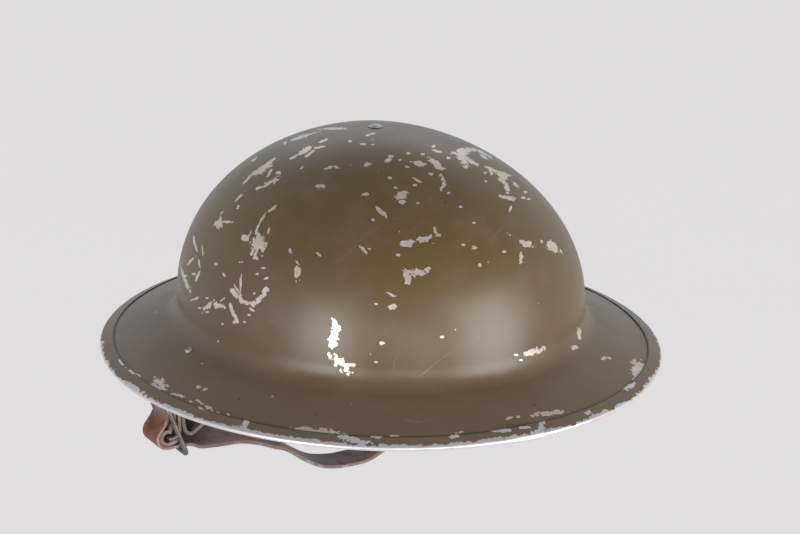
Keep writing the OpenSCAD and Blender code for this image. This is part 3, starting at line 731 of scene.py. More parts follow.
class Tree:
    """A node tree in the making: each call adds a node, sets it and links what it is given"""

    def __init__(self, tree):
        self.tree = tree

    def add(self, kind, inputs=None, **values):
        made = self.tree.nodes.new("ShaderNode" + kind)
        for key, value in values.items():
            setattr(made, key, value)
        return self.fill(made, inputs or {})

    def fill(self, node, inputs):
        for key, value in inputs.items():
            self.feed(node.inputs[key], value)
        return node

    def feed(self, socket, value):
        """Links a socket to what feeds it, or sets it to a constant"""
        if isinstance(value, bpy.types.NodeSocket):
            self.tree.links.new(value, socket)
        else:
            socket.default_value = value

    def math(self, operation, a, b=0.0, c=0.0):
        return self.add("Math", {0: a, 1: b, 2: c}, operation=operation).outputs[0]

    def plus(self, a, b):
        return self.math("ADD", a, b)

    def minus(self, a, b):
        return self.math("SUBTRACT", a, b)

    def times(self, a, b):
        return self.math("MULTIPLY", a, b)

    def least(self, a, b):
        return self.math("MINIMUM", a, b)

    def most(self, a, b):
        return self.math("MAXIMUM", a, b)

    def seen(self):
        """1 for the rays that show the surroundings themselves, 0 for those that only light the helmet"""
        path = self.add("LightPath").outputs
        mirrored = self.most(path["Is Glossy Ray"], path["Is Transmission Ray"])
        return self.most(path["Is Camera Ray"], mirrored)

    def mix(self, factor, a, b, blend="MIX"):
        node = self.add("Mix", {0: factor, 6: a, 7: b}, data_type="RGBA", blend_type=blend)
        return node.outputs[2]

    def blend(self, factor, a, b):
        return self.add("Mix", {0: factor, 2: a, 3: b}, data_type="FLOAT").outputs[0]

    def step(self, value, low, high, out_low=0.0, out_high=1.0):
        """Smooth step of a value from low to high"""
        inputs = {"Value": value, "From Min": low, "From Max": high, "To Min": out_low, "To Max": out_high}
        return self.add("MapRange", inputs, interpolation_type="SMOOTHSTEP").outputs[0]

    def noise(self, vector, scale, detail=2.0, rough=0.5, distortion=0.0):
        inputs = {"Vector": vector, "Scale": scale, "Detail": detail, "Roughness": rough,
                  "Distortion": distortion}
        return self.add("TexNoise", inputs).outputs[0]

    def spots(self, vector, scale, feature="F1"):
        return self.add("TexVoronoi", {"Vector": vector, "Scale": scale}, feature=feature).outputs

    def spot(self):
        return self.add("TexCoord").outputs["Object"]

    def attribute(self, name, output="Fac"):
        return self.add("Attribute", attribute_name=name).outputs[output]

    def stretched(self, vector, scale, turn=(0, 0, 0)):
        return self.add("Mapping", {"Vector": vector, "Scale": scale, "Rotation": turn}).outputs[0]

    def chance(self, spots, channel, power):
        """A random number for each spot, mostly small: the higher the power, the rarer the large ones"""
        return self.math("POWER", self.add("SeparateColor", {0: spots["Color"]}).outputs[channel], power)

    def bump(self, height, distance, strength=1.0):
        inputs = {"Height": height, "Distance": distance, "Strength": strength}
        return self.add("Bump", inputs).outputs[0]


def group(name, inputs, outputs):
    """A new node group with float or colour sockets; returns its tree, its input node and its output node"""
    tree = bpy.data.node_groups.new(name, "ShaderNodeTree")
    for socket_name, kind, default in inputs:
        socket = tree.interface.new_socket(socket_name, in_out="INPUT", socket_type="NodeSocket" + kind)
        if default is not None:
            socket.default_value = default
    for socket_name, kind in outputs:
        tree.interface.new_socket(socket_name, in_out="OUTPUT", socket_type="NodeSocket" + kind)
    return Tree(tree), tree.nodes.new("NodeGroupInput"), tree.nodes.new("NodeGroupOutput")


def use(tree, name, build, inputs):
    """Places a node group in a tree, building it the first time, and returns its outputs"""
    made = bpy.data.node_groups.get(name) or build(name)
    return tree.fill(tree.add("Group", node_tree=made), inputs).outputs


# Long flakes on the sides that the photograph doesn't show: three kinds, each with its number to the metre
# along X, Y and Z and its turn
FLAKES = (((85, 85, 24), (0.6, 0.5, 0)), ((30, 110, 110), (0, 0.4, 0.9)), ((70, 26, 90), (0.5, 0, 0.4)))


def chip_group(name):
    """Paint loss: the placed chips, small specks, the band's worn nose and flakes on the unseen sides"""
    amounts = {"Chips": 1.0, "Ragged": 2.6, "Specks": 1.0, "Edge": 0.0}
    t, given, out = group(name, [(key, "Float", value) for key, value in amounts.items()],
                          [("Bare", "Float"), ("Lip", "Float")])
    spot = t.spot()
    coarse = t.minus(t.noise(spot, 430, 3, 0.6, 0.3), 0.5)
    broad = t.minus(t.noise(spot, 190, 2, 0.5, 0.8), 0.5)
    rag = t.times(t.plus(coarse, t.times(broad, 0.6)), given.outputs["Ragged"])
    edges = []
    for layer in LAYERS:
        parts = t.add("SeparateXYZ", {0: t.attribute(layer, "Vector")}).outputs
        reach = t.math("SQRT", t.plus(t.times(parts[0], parts[0]), t.times(parts[1], parts[1])))
        edges.append(t.times(t.plus(t.minus(reach, 0.88), rag), parts[2]))
    placed = t.math("SMOOTH_MIN", t.math("SMOOTH_MIN", edges[0], edges[1], 0.3), edges[2], 0.3)
    placed = t.plus(placed, t.times(t.minus(1.0, given.outputs["Chips"]), FAR))
    wide = t.times(t.minus(t.noise(spot, 45, 3, 0.6), 0.5), 5.0)
    worn = t.minus(t.attribute("from_edge"), t.attribute("wear"))
    worn = t.plus(worn, t.plus(wide, t.times(rag, 1.6)))
    never = 99.0
    worn = t.plus(worn, t.times(t.minus(1.0, given.outputs["Edge"]), never))
    cells = t.spots(spot, 210)
    crowd = t.step(t.noise(spot, 16, 2), 0.46, 0.68)
    size = t.times(t.times(t.chance(cells, 0, 14.0), crowd), t.times(given.outputs["Specks"], 0.3))
    speck = t.times(t.minus(cells["Distance"], size), 4.8)
    speck = t.plus(speck, t.times(t.plus(rag, 0.5), 0.3))
    crowd = t.step(t.noise(spot, 13, 2), 0.38, 0.56)
    reach = t.times(crowd, t.times(t.attribute("unseen"), 0.46))
    edge = t.least(t.least(placed, worn), speck)
    for stretch, turn in FLAKES:
        flakes = t.spots(t.stretched(spot, stretch, turn), 1.0)
        flake = t.minus(flakes["Distance"], t.times(t.chance(flakes, 1, 2.2), reach))
        flake = t.plus(t.times(flake, 12.0), t.plus(t.times(rag, 3.2), 0.9))
        edge = t.least(edge, flake)
    t.fill(out, {"Bare": t.step(edge, 0.06, -0.06),
                 "Lip": t.times(t.step(edge, 0.4, 0.05), t.step(edge, -0.1, 0.05))})
    return t.tree


def mottle_group(name):
    """Uneven tone, each from 0 to 1: clouds, small blotches, rubbed streaks, grain, hairlines and soot"""
    tones = ("Clouds", "Blotches", "Streaks", "Grain", "Hairlines", "Soot")
    t, given, out = group(name, [("Scale", "Float", 1.0)], [(tone, "Float") for tone in tones])
    spot = t.add("VectorMath", {0: t.spot(), 3: given.outputs["Scale"]}, operation="SCALE").outputs[0]
    lines = t.noise(t.stretched(spot, (240, 30, 60), (0.3, 0.5, 0.7)), 1.0, 4, 0.7, 1.5)
    hair = t.noise(t.stretched(spot, (12, 50, 26), (0.9, 0.4, 0.2)), 1.0, 1, 0.3, 0.3)
    hair = t.step(t.math("ABSOLUTE", t.minus(hair, 0.5)), 0.0035, 0.0012)
    some = t.step(t.noise(spot, 38, 2), 0.54, 0.62)
    cells = t.spots(spot, 130)
    soot = t.minus(cells["Distance"], t.times(t.chance(cells, 2, 9.0), 0.1))
    t.fill(out, {"Clouds": t.step(t.noise(spot, 11, 3, 0.5, 0.8), 0.36, 0.66),
                 "Blotches": t.step(t.noise(spot, 55, 4, 0.6), 0.42, 0.72),
                 "Streaks": t.step(lines, 0.6, 0.74), "Grain": t.noise(spot, 900, 3, 0.6),
                 "Hairlines": t.times(hair, some), "Soot": t.step(soot, 0.02, -0.01)})
    return t.tree


def shader(name):
    """A new material: its tree and its Principled BSDF"""
    material = bpy.data.materials.new(name)
    material.use_nodes = True
    tree = material.node_tree
    return material, Tree(tree), tree.nodes["Principled BSDF"]


def made_once(build):
    """Keeps the material that a function makes, so that pieces share it"""
    def give(name, *values):
        return bpy.data.materials.get(name) or build(name, *values)
    return give


@made_once
def painted_steel(name, chips=1.0, edge=0.0, specks=1.0, worn=0.0, bright=0.0):
    """Satin drab paint, mottled and chipped to bare steel, and banded in tone by height as painted reflection
    """
    f = settings("helmet_finish")
    material, t, bsdf = shader(name)
    tone = use(t, "mottle", mottle_group, {"Scale": 1.0})
    loss = use(t, "paint_chips", chip_group,
               {"Chips": chips, "Ragged": 2.6, "Specks": specks, "Edge": float(edge > 0)})
    on_helmet = t.add("SeparateXYZ", {0: t.spot()}).outputs
    across, height = on_helmet[0], on_helmet[2]
    # Olive paint lies high on the bowl but not on the crown, and low down mostly at the helmet's right. This
    # banding by height and side is painted reflection: it stands in for how the crown, the brim and the left
    # side mirror and catch the room's light
    height = t.plus(height, t.times(t.minus(t.noise(t.spot(), 14, 2), 0.5), 0.06))
    olive_band = t.blend(t.step(height, 0.048, 0.074), t.step(across, 0.0, -0.08, 0.32, 0.82), 0.9)
    olive_band = t.times(olive_band, t.step(height, 0.106, 0.088))
    olive_band = t.times(olive_band, t.plus(0.6, t.times(tone["Clouds"], 0.4)))
    paint = t.mix(olive_band, f.paint, f.paint_olive)
    # The first of these greys the paint towards the brim, part of the painted reflection banding; the rest
    # are rubbed blotches, streaks and the piece's own wear
    for wear in (t.step(height, 0.022, 0.006, 0.0, 0.6), t.times(tone["Blotches"], 0.45),
                 t.times(tone["Streaks"], 0.25), worn):
        paint = t.mix(wear, paint, f.paint_worn)
    # Painted shade: a dark line along the band's inner edge, in the gap where it meets the brim
    if edge:
        dirt_and_gap_shade = t.step(t.attribute("from_edge"), edge - 0.9, edge - 0.3)
        paint = t.mix(t.times(dirt_and_gap_shade, 0.95), paint, f.dirt_and_gap_shade)
    paint = t.mix(t.times(tone["Hairlines"], 0.3), paint, f.hairline)
    paint = t.mix(t.times(tone["Soot"], 0.7), paint, f.dirt_and_gap_shade)
    shade = t.plus(0.9, t.times(tone["Grain"], 0.2))
    paint = t.mix(1.0, paint, t.add("CombineColor", {0: shade, 1: shade, 2: shade}).outputs[0], "MULTIPLY")
    paint = t.mix(t.times(loss["Lip"], 0.35), paint, (0.04, 0.032, 0.022, 1))
    metal = t.mix(t.step(t.noise(t.spot(), 150, 3), 0.32 + bright, 0.5 + bright), f.steel, f.primer)
    rough = t.plus(0.37, t.times(tone["Blotches"], 0.06))
    level = t.minus(t.times(tone["Grain"], 0.05), loss["Bare"])
    t.fill(bsdf, {"Base Color": t.mix(loss["Bare"], paint, metal), "Metallic": t.times(loss["Bare"], 0.6),
                  "Roughness": t.blend(loss["Bare"], rough, 0.34), "Normal": t.bump(level, 0.12 * MM, 0.6)})
    return material


@made_once
def bare_steel(name, tint, rough=0.4, scratch=0.3, metal=0.75):
    """Bare or thinly coated steel with fine scratches and dull patches"""
    material, t, bsdf = shader(name)
    tone = use(t, "mottle", mottle_group, {"Scale": 4.0})
    t.fill(bsdf, {"Base Color": t.mix(tone["Blotches"], tint, shaded(tint, 0.62)), "Metallic": metal,
                  "Roughness": t.plus(rough, t.times(tone["Streaks"], 0.2)),
                  "Normal": t.bump(tone["Grain"], 0.05 * MM, scratch)})
    return material


@made_once
def leather(name, face, worn, edge):
    """Leather with pores and creases, rubbed red on its outer loop, and darkened by a painted shadow where
    the brim shades it
    """
    material, t, bsdf = shader(name)
    spot = t.spot()
    pores = t.spots(spot, 950)["Distance"]
    creases = t.noise(t.stretched(spot, (420, 60, 420)), 1.0, 4, 0.6, 0.5)
    tone = use(t, "mottle", mottle_group, {"Scale": 3.0})
    rubbed = t.attribute("rubbed")
    dark = shaded(face, 0.6)
    tint = t.mix(tone["Blotches"], face, dark)
    worn_tint = t.mix(tone["Clouds"], worn, shaded(worn, 0.78))
    patches = t.step(t.noise(spot, 130, 3), 0.5, 0.36, 0.0, 0.7)
    worn_tint = t.mix(patches, worn_tint, shaded(worn, 0.5))
    tint = t.mix(rubbed, tint, worn_tint)
    scuffed = t.times(rubbed, t.step(t.noise(spot, 210, 4, 0.7), 0.58, 0.7, 0.0, 0.6))
    tint = t.mix(scuffed, tint, shaded(worn, 2.6))
    tint = t.mix(t.times(t.step(creases, 0.62, 0.72), 0.5), tint, dark)
    tint = t.mix(t.attribute("cut_edge"), tint, t.mix(tone["Blotches"], edge, face))
    # Painted shadow of the brim, darkening the leather that hangs under it
    tint = t.mix(t.times(t.attribute("handled"), 0.6), tint, shaded(face, 0.3))
    height = t.plus(t.times(pores, 0.5), t.times(creases, 1.2))
    t.fill(bsdf, {"Base Color": tint, "Roughness": t.plus(0.5, t.times(tone["Blotches"], 0.15)),
                  "Specular IOR Level": 0.18, "Normal": t.bump(height, 0.15 * MM, 0.6)})
    return material


@made_once
def woven(name, tint, pitch=0.9, sheen=0.3):
    """Plain weave in cotton, with paler and darker threads; the pitch in millimetres"""
    material, t, bsdf = shader(name)
    spot = t.spot()
    x, y, z = t.add("SeparateXYZ", {0: spot}).outputs
    across, along = (t.math("SINE", t.times(t.plus(part, z), pi / pitch / MM)) for part in (x, y))
    weave = t.math("ABSOLUTE", t.times(across, along))
    tone = use(t, "mottle", mottle_group, {"Scale": 2.0})
    dark = shaded(tint, 0.5)
    mixed = t.mix(t.times(weave, 0.55), tint, dark)
    mixed = t.mix(t.times(tone["Blotches"], 0.5), mixed, dark)
    height = t.minus(t.times(tone["Grain"], 0.6), weave)
    t.fill(bsdf, {"Base Color": mixed, "Roughness": 0.9, "Sheen Weight": sheen,
                  "Normal": t.bump(height, 0.2 * MM, 0.7)})
    return material


@made_once
def matted(name, tint):
    """Wool felt: short matted fibres"""
    material, t, bsdf = shader(name)
    spot = t.spot()
    fibres = t.noise(t.stretched(spot, (1400, 500, 900), (0.4, 0.2, 0.9)), 1.0, 5, 0.7, 2.0)
    tone = use(t, "mottle", mottle_group, {"Scale": 3.0})
    dark = shaded(tint, 0.55)
    mixed = t.mix(t.step(fibres, 0.35, 0.65), tint, dark)
    t.fill(bsdf, {"Base Color": t.mix(t.times(tone["Blotches"], 0.4), mixed, dark), "Roughness": 0.95,
                  "Sheen Weight": 0.4, "Normal": t.bump(fibres, 0.5 * MM, 0.8)})
    return material


@made_once
def oiled_cloth(name, tint):
    """Black oilcloth: a soft gloss over a fine weave, cracked along its folds"""
    material, t, bsdf = shader(name)
    spot = t.spot()
    cracks = t.spots(spot, 260, "DISTANCE_TO_EDGE")["Distance"]
    tone = use(t, "mottle", mottle_group, {"Scale": 3.0})
    height = t.plus(t.step(cracks, 0.0, 0.08), t.times(tone["Grain"], 0.8))
    t.fill(bsdf, {"Base Color": t.mix(t.times(tone["Blotches"], 0.6), tint, shaded(tint, 2.2)),
                  "Roughness": t.plus(0.34, t.times(tone["Blotches"], 0.25)),
                  "Normal": t.bump(height, 0.15 * MM, 0.45)})
    return material


@made_once
def aged_rubber(name, tint):
    """Red-brown rubber gone dull, with a pale bloom"""
    material, t, bsdf = shader(name)
    tone = use(t, "mottle", mottle_group, {"Scale": 5.0})
    bloom = tuple(min(1, c * 1.7 + 0.04) for c in tint[:3]) + (1,)
    t.fill(bsdf, {"Base Color": t.mix(t.times(tone["Blotches"], 0.5), tint, bloom),
                  "Roughness": t.plus(0.6, t.times(tone["Blotches"], 0.2)),
                  "Normal": t.bump(tone["Grain"], 0.1 * MM, 0.5)})
    return material


def coat(piece, material):
    piece.data.materials.clear()
    piece.data.materials.append(material)


def dress(piece, body, slot, material, *nodes):
    """Gives a finished piece its material and body, and hides the CAD nodes that it stands for; slot is not
    used
    """
    release()
    coat(piece, material)
    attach(piece, body)
    if nodes:
        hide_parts(*nodes)
    return piece


def carry(material, *nodes):
    """Gives CAD nodes that stay as they are a finish of their own"""
    for name in nodes:
        coat(frame["nodes"][name], material)


# Pieces of the shell


class HELMET_OT_shell(bpy.types.Operator):
    """Press the shell: rings raised from the edge of the brim to the crown, then the sheet's thickness"""
    bl_idname = "helmet.shell"
    bl_label = "Shell"

    def execute(self, context):
        section = Section()
        rings = [section.ring(r, z) for r, z in section.face()]
        crown = (section.lean(section.s.crown_h), section.s.crown_h)
        shell = stack("steel_shell", rings, 320, top=crown)
        bump(shell, 0.35 * MM, 45 * MM, seed=0.7)
        modify(shell, "SOLIDIFY", thickness=section.s.sheet, offset=-1, use_even_offset=True)
        smooth_by(shell, 45)
        dress(shell, "helmet", "shell", painted_steel("paint_shell"), "shell")
        return {"FINISHED"}


class HELMET_OT_rim_band(bpy.types.Operator):
    """Fold the band over the brim's edge and lap its two ends at the back"""
    bl_idname = "helmet.rim_band"
    bl_label = "Rim band"
    # Degrees over which the outer end climbs onto the inner one, and between two cross sections
    climb_turn, step = 2.0, 1.25
    # Turn at which the nose is worn most, and how far in it is worn: least, and how much more there, in mm
    worn_turn, worn_least, worn_more = radians(62), 0.9, 2.0

    def fold(self, section):
        """Rows from the inner end of the upper leg round the nose to the end of the lower leg"""
        s = section.s
        half = section.fold / 2
        leg = (s.band_w - half) / cos(s.slope)
        rows = [(-leg, half - 0.25 * MM), (-leg + 0.12 * MM, half - 0.05 * MM)]
        rows += [(-leg * share, half) for share in (0.93, 0.7, 0.47, 0.24, 0.08)]
        rows += [(half * cos(radians(a)), half * sin(radians(a))) for a in range(90, -91, -15)]
        rows += [((-leg + 1 * MM) * share, -half) for share in (0.15, 0.5, 0.85, 1)]
        return rows

    def point(self, section, row, climb, turn):
        along, out = row
        half = section.fold / 2
        if along > 0:
            reach = (half + climb) / half
            along, out = along * reach, out * reach
        else:
            out += climb if out > 0 else -climb
        r = section.edge_r + along * cos(section.s.slope) + out * sin(section.s.slope)
        z = -along * sin(section.s.slope) + out * cos(section.s.slope)
        return Vector((r * cos(turn), section.half_l(r) * sin(turn) + section.lean(z), z))

    def lay(self, section, rows, turns):
        """An arc of edges that keep their turn, extruded row by row"""
        band = vertex_start("steel_rim_band", (cos(turns[0]), sin(turns[0]), 0))
        for old, new in zip(turns, turns[1:]):
            extrude((cos(new) - cos(old), sin(new) - sin(old), 0))
        release()
        mark(band, "turn", [self.wound(vertex.co, about)
                            for vertex, about in zip(band.data.vertices, turns)])
        edit(band)
        rings = []
        for row in rows:
            flat = self.point(section, row, 0, 0)
            rings.append((flat.x, section.half_l(flat.x), 0, flat.z))
        first = rings[0]
        bpy.ops.transform.resize(value=(first[0], first[1], 1), center_override=(0, 0, 0))
        bpy.ops.transform.translate(value=(0, 0, first[3]))
        for old, new in zip(rings, rings[1:]):
            ring_next(old, new)
        release()
        return band

    def lap(self, band, section, rows, row_len, climb_start):
        """Lifts the outer end onto the inner one and marks the wear; returns how far the rows reach, in mm"""
        s = section.s
        half = section.fold / 2
        reach = [(hypot(along - half, out) if along <= 0 else abs(atan2(out, along)) * half) / MM
                 for along, out in rows]
        turns = [value.value for value in band.data.attributes["turn"].data]
        for i, (vertex, turn) in enumerate(zip(band.data.vertices, turns)):
            row = rows[i // row_len]
            rise = (degrees(turn) - climb_start) / self.climb_turn
            climb = (s.band_t + s.gap) * min(1.0, max(0.0, rise))
            if (vertex.co - self.point(section, row, 0, turn)).length > 0.3 * MM:
                raise RuntimeError("the rim band's rows came out in another order")
            vertex.co = self.point(section, row, climb, turn)
        mark(band, "from_edge", [reach[i // row_len] for i in range(len(turns))])
        mark(band, "wear", [self.worn_least + self.worn_more * (0.5 + 0.5 * cos(turn - self.worn_turn)) ** 2
                            for turn in turns])
        return max(reach)

    def execute(self, context):
        section = Section()
        s = section.s
        start, end = degrees(s.band_end - s.band_lap), degrees(s.band_end) + 360
        count = round((end - start) / self.step)
        turns = [radians(start + (end - start) * i / count) for i in range(count + 1)]
        rows = self.fold(section)
        band = self.lay(section, rows, turns)
        edge = self.lap(band, section, rows, len(turns), start + 360 - self.climb_turn - 1)
        self.face_out(band, section)
        modify(band, "SOLIDIFY", thickness=s.band_t, offset=-1, use_even_offset=True)
        smooth_by(band, 45)
        paint = painted_steel("paint_rim", 1.0, edge, 0.4, 0.35, 0.22)
        dress(band, "helmet", "rim_band", paint, "rim_band")
        return {"FINISHED"}

    @staticmethod
    def wound(place_of, about):
        """Turn of a place round the helmet, counted on past a full circle to be near a given turn"""
        turn = atan2(place_of.y, place_of.x)
        return turn + 2 * pi * round((about - turn) / (2 * pi))

    def face_out(self, band, section):
        """Turns the band's faces so that its nose faces away from the helmet"""
        outwards(band)
        score = sum(face.normal.x * face.center.x + face.normal.y * face.center.y
                    for face in band.data.polygons if hypot(face.center.x, face.center.y) > section.edge_r)
        if score < 0:
            edit(band)
            bpy.ops.mesh.flip_normals()
            release()


class HELMET_OT_chips(bpy.types.Operator):
    """Place the chips in the paint of the shell and the rim band"""
    bl_idname = "helmet.chips"
    bl_label = "Paint chips"

    def execute(self, context):
        targets = [bpy.data.objects["steel_shell"], bpy.data.objects["steel_rim_band"]]
        for piece, frames in zip(targets, chip_frames(targets)):
            chip_attributes(piece, frames)
        return {"FINISHED"}


class HELMET_OT_crown_rivet(bpy.types.Operator):
    """Set the domed rivet in the crown and finish its washer"""
    bl_idname = "helmet.crown_rivet"
    bl_label = "Crown rivet"

    def execute(self, context):
        section = Section()
        f, s = settings("helmet_fittings"), section.s
        at = (0, section.lean(s.crown_h), s.crown_h + s.gap)
        head = place(dome("crown_rivet_head", f.crown_head / 2, f.crown_head_h, 0.25 * MM), at)
        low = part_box("crown_rivet")[0].z
        clinch = [(0.4 * MM, low), (3.2 * MM, low), (3.5 * MM, low + 0.25 * MM), (3.5 * MM, low + 0.8 * MM),
                  (3.1 * MM, low + 1 * MM)]
        stations = clinch + [(2 * MM, low + 1 * MM), (2 * MM, s.crown_h)]
        shank = stack("crown_rivet_shank", [(r, r, 0, z) for r, z in stations], 32, top=(0, s.crown_h))
        place(shank, (0, at[1], 0))
        rivet = join("steel_crown_rivet", [head, shank])
        dull = settings("helmet_finish").steel_dull
        worn = bare_steel("rivet_steel", dull, 0.42, 0.5, 0.25)
        dress(rivet, "helmet", "crown_rivet", worn, "crown_rivet")
        carry(bare_steel("dull_steel", dull), "crown_washer", "buffer_rivets", "hoop_rivets")
        return {"FINISHED"}


# Fittings


def on_brim(piece, side):
    """Puts a piece that is modelled flat at the origin onto the brim at one lug"""
    section = Section()
    place(piece, (section.bend_out, 0, section.brim_z(section.bend_out)), (0, section.s.slope, 0))
    return place(piece, rotation=(0, 0, pi if side < 0 else 0))


class HELMET_OT_lugs(bpy.types.Operator):
    """Roll the lugs' eyes and rivet the lugs under the brim"""
    bl_idname = "helmet.lugs"
    bl_label = "Lugs and their rivets"

    def execute(self, context):
        f, s = settings("helmet_fittings"), settings("helmet_shell")
        shank_r = 1.5 * MM
        eye_in = f.wire / 2 + 0.08 * MM
        top = -s.sheet - 0.15 * MM
        middle = top - f.lug_t / 2
        eye = (f.eye_reach, top - f.lug_t - eye_in)
        path = [(-6 * MM + 2 * MM * i, middle) for i in range(9)]
        path += arc(eye, eye_in + f.lug_t / 2, 90, -165, 26)
        for side, name in ((1, "left_lug"), (-1, "right_lug")):
            lug = ribbon("steel_" + name, path, f.lug_w, f.lug_t, 6, 0.15 * MM)
            on_brim(lug, side)
            dress(lug, "helmet", "lug", painted_steel("paint_lug", 0.0, 0.0, 0.8, 0.5), name)
            head = place(dome("rivet", f.lug_head / 2, f.lug_head_h, 0.35 * MM), (0, 0, -0.1 * MM))
            under = place(dome("rivet_under", f.lug_head / 2, 1 * MM), (0, 0, top - f.lug_t), (pi, 0, 0))
            shank = stack("rivet_shank", [(shank_r, shank_r, 0, z) for z in (top - f.lug_t, 0)], 24)
            rivet = join("steel_" + name + "_rivet", [head, under, shank])
            edge = [abs(hypot(v.co.x, v.co.y) - 0.62 * f.lug_head / 2) / MM for v in rivet.data.vertices]
            mark(rivet, "from_edge", edge)
            mark(rivet, "wear", [0.25] * len(edge))
            on_brim(rivet, side)
            paint = painted_steel("paint_lug_rivet", 0.0, 20.0, 0.0, 0.6)
            dress(rivet, "helmet", "lug_rivet", paint, name + "_rivet")
        return {"FINISHED"}


class HELMET_OT_bails(bpy.types.Operator):
    """Bend the two wire bails that hang in the lugs"""
    bl_idname = "helmet.bails"
    bl_label = "Bails"

    def execute(self, context):
        f, soft = settings("helmet_fittings"), settings("helmet_soft")
        eye = joint_at["left_bail_swing"]
        half = (soft.leather_w + 2.4 * MM + f.wire) / 2
        for side, name in ((1, "left_bail"), (-1, "right_bail")):
            low = eye.z - f.bail_h
            corners = [(side * eye.x, y, z) for y, z in
                       ((half, eye.z), (half, low), (-half, low), (-half, eye.z))]
            bail = wire("wire_" + name, rounded(corners, 3 * MM, closed=True), f.wire / 2, closed=True)
            dress(bail, name, "bail", bare_steel("dark_wire", settings("helmet_finish").wire, 0.42), name)
        return {"FINISHED"}


class HELMET_OT_slide_buckle(bpy.types.Operator):
    """Bend the slide buckle's frame and its raised middle bar"""
    bl_idname = "helmet.slide_buckle"
    bl_label = "Slide buckle"

    def execute(self, context):
        plan = StrapPlan()
        f = settings("helmet_fittings")
        half, long, up = plan.leg_y * MM, f.slide_l, plan.bridge_up * MM
        corners = [(0, half, 0), (0, half, -long), (0, -half, -long), (0, -half, 0)]
        outer = wire("slide_frame", rounded(corners, 2.6 * MM, closed=True), f.wire / 2, closed=True)
        down = -plan.bridge_down * MM
        bridge = [(0, half, down), (up, half, down), (up, -half, down), (0, -half, down)]
        middle = wire("slide_bridge", rounded(bridge, 1.1 * MM), plan.bridge_r * MM)
        buckle = join("wire_slide_buckle", [outer, middle])
        place(buckle, (plan.slide_at[0] * MM, 0, plan.slide_at[1] * MM), (0, f.slide_lean, 0))
        dark = bare_steel("dark_wire", settings("helmet_finish").wire, 0.42)
        dress(buckle, "chinstrap", "slide_buckle", dark, "slide_buckle")
        return {"FINISHED"}


class StrapPlan:
    """Where the leather runs, in millimetres: the bails' and the buckle's bars and the loops round them"""
    # The buckle's upper bar: how far outwards from the bail's lower bar, and how far below it
    slide_out, slide_low = 6.8, 2
    # The buckle's middle bar: how far it is raised, how far below the upper bar it is, and its radius
    bridge_up, bridge_down, bridge_r = 4.6, 15.8, 1.2
    # Room beside the leather: round a bail's bar, at the buckle's legs, round its middle bar, between turns
    bar_room, leg_room, coil_room, turn_room = 0.2, 0.4, 1.3, 0.25
    # How far outwards the loop on the middle bar sits, and how far inwards the short strap's lapped end
    coil_out, lap_in = 0.7, 0.15
    # The short strap's rivet below the bail's lower bar, and the chinstrap's rivet along its doubled end
    rivet_low, rivet_i = 8, 7

    def __init__(self):
        f, soft = settings("helmet_fittings"), settings("helmet_soft")
        self.width, self.t = soft.leather_w / MM, soft.leather_t / MM
        self.wire = f.wire / MM
        self.drop = soft.strap_drop / MM
        self.lean = f.slide_lean
        self.bar = (joint_at["left_bail_swing"].x / MM, joint_at["chinstrap_swing"].z / MM)
        self.right_bar = (-self.bar[0], self.bar[1])
        self.slide_at = (self.bar[0] + self.slide_out, self.bar[1] - self.slide_low)
        self.leg_y = self.width / 2 + self.leg_room + self.wire / 2
        out, down = (cos(self.lean), -sin(self.lean)), (-sin(self.lean), -cos(self.lean))
        self.bridge = tuple(self.slide_at[i] + self.bridge_up * out[i] + self.bridge_down * down[i]
                            for i in (0, 1))
        self.hook_r = self.wire / 2 + self.bar_room + self.t / 2
        self.coil_r = self.bridge_r + self.coil_room + self.t / 2
        self.coil = (self.bridge[0] + self.coil_out, self.bridge[1])
        self.loop_r = self.coil_r + self.t + self.turn_room
        self.lap_x = self.bar[0] - self.lap_in
        self.inner_x = self.bar[0] - self.hook_r

    @staticmethod
    def near(point, *steps):
        return [(point[0] + x, point[1] + z) for x, z in steps]

    def short(self):
        """Loop round the left bail's lower bar and the buckle's middle bar"""
        bar, coil = self.bar, self.coil
        tail = self.near((self.inner_x, bar[1] - 12), (-14, -1.2), (-9, -4), (-4.6, -6.4), (-1.1, -4.6),
                         (0, 1.5), (0, 6))
        return (smooth(tail, 5) + tail[-1:]
                + arc(bar, self.hook_r, 180, 0, 14)
                + smooth(self.near(bar, (self.hook_r, -4), (self.hook_r + 0.15, -8.5),
                                   (self.hook_r + 1.1, -12)), 5)
                + arc(coil, self.coil_r, 112, -100, 20)
                + smooth([(coil[0] - 4.4, coil[1] - 2.6), (self.lap_x + 0.3, coil[1] + 1.6),
                          (self.lap_x, coil[1] + 5)], 5)
                + [(self.lap_x, coil[1] + 5), (self.lap_x, coil[1] + 8.5),
                   (self.lap_x, bar[1] - self.wire / 2 - 1)])

    def doubled(self):
        return smooth(self.near(self.right_bar, (7.1, -6.8), (15.5, -13.1), (24, -18.1), (33, -22.3)), 4)

    def chin(self):
        """From the riveted loop on the right bail down, through the buckle and back up"""
        sag = [(-0.65, 0.46), (-0.41, 0.64), (-0.16, 0.81), (0, 0.93), (0.09, 0.995), (0.15, 1),
               (0.24, 0.988), (0.33, 0.935), (0.41, 0.832), (0.52, 0.66), (0.67, 0.513)]
        doubled = self.doubled()
        tail = moved(doubled, self.t + 0.2)
        run = smooth([doubled[-1]] + [(x * self.bar[0], self.bar[1] - z * self.drop) for x, z in sag]
                     + self.near(self.coil, (-26.3, -self.loop_r - 3), (-12.3, -self.loop_r - 0.4),
                                 (-4, -self.loop_r - 0.15)), 7)
        tongue = smooth(self.near(self.coil, (1.3, 7)) + self.near(self.slide_at, (-2.2, -3.6), (-2.45, 0),
                                                                   (-2.6, 5), (-2.8, 10)), 5)
        return (tail[::-1] + arc(self.right_bar, self.hook_r, 51, 231, 14) + doubled + run[1:]
                + arc(self.coil, self.loop_r, -90, 48, 16) + tongue + self.near(self.slide_at, (-2.8, 10)))


def in_metres(path):
    return [(x * MM, z * MM) for x, z in path]


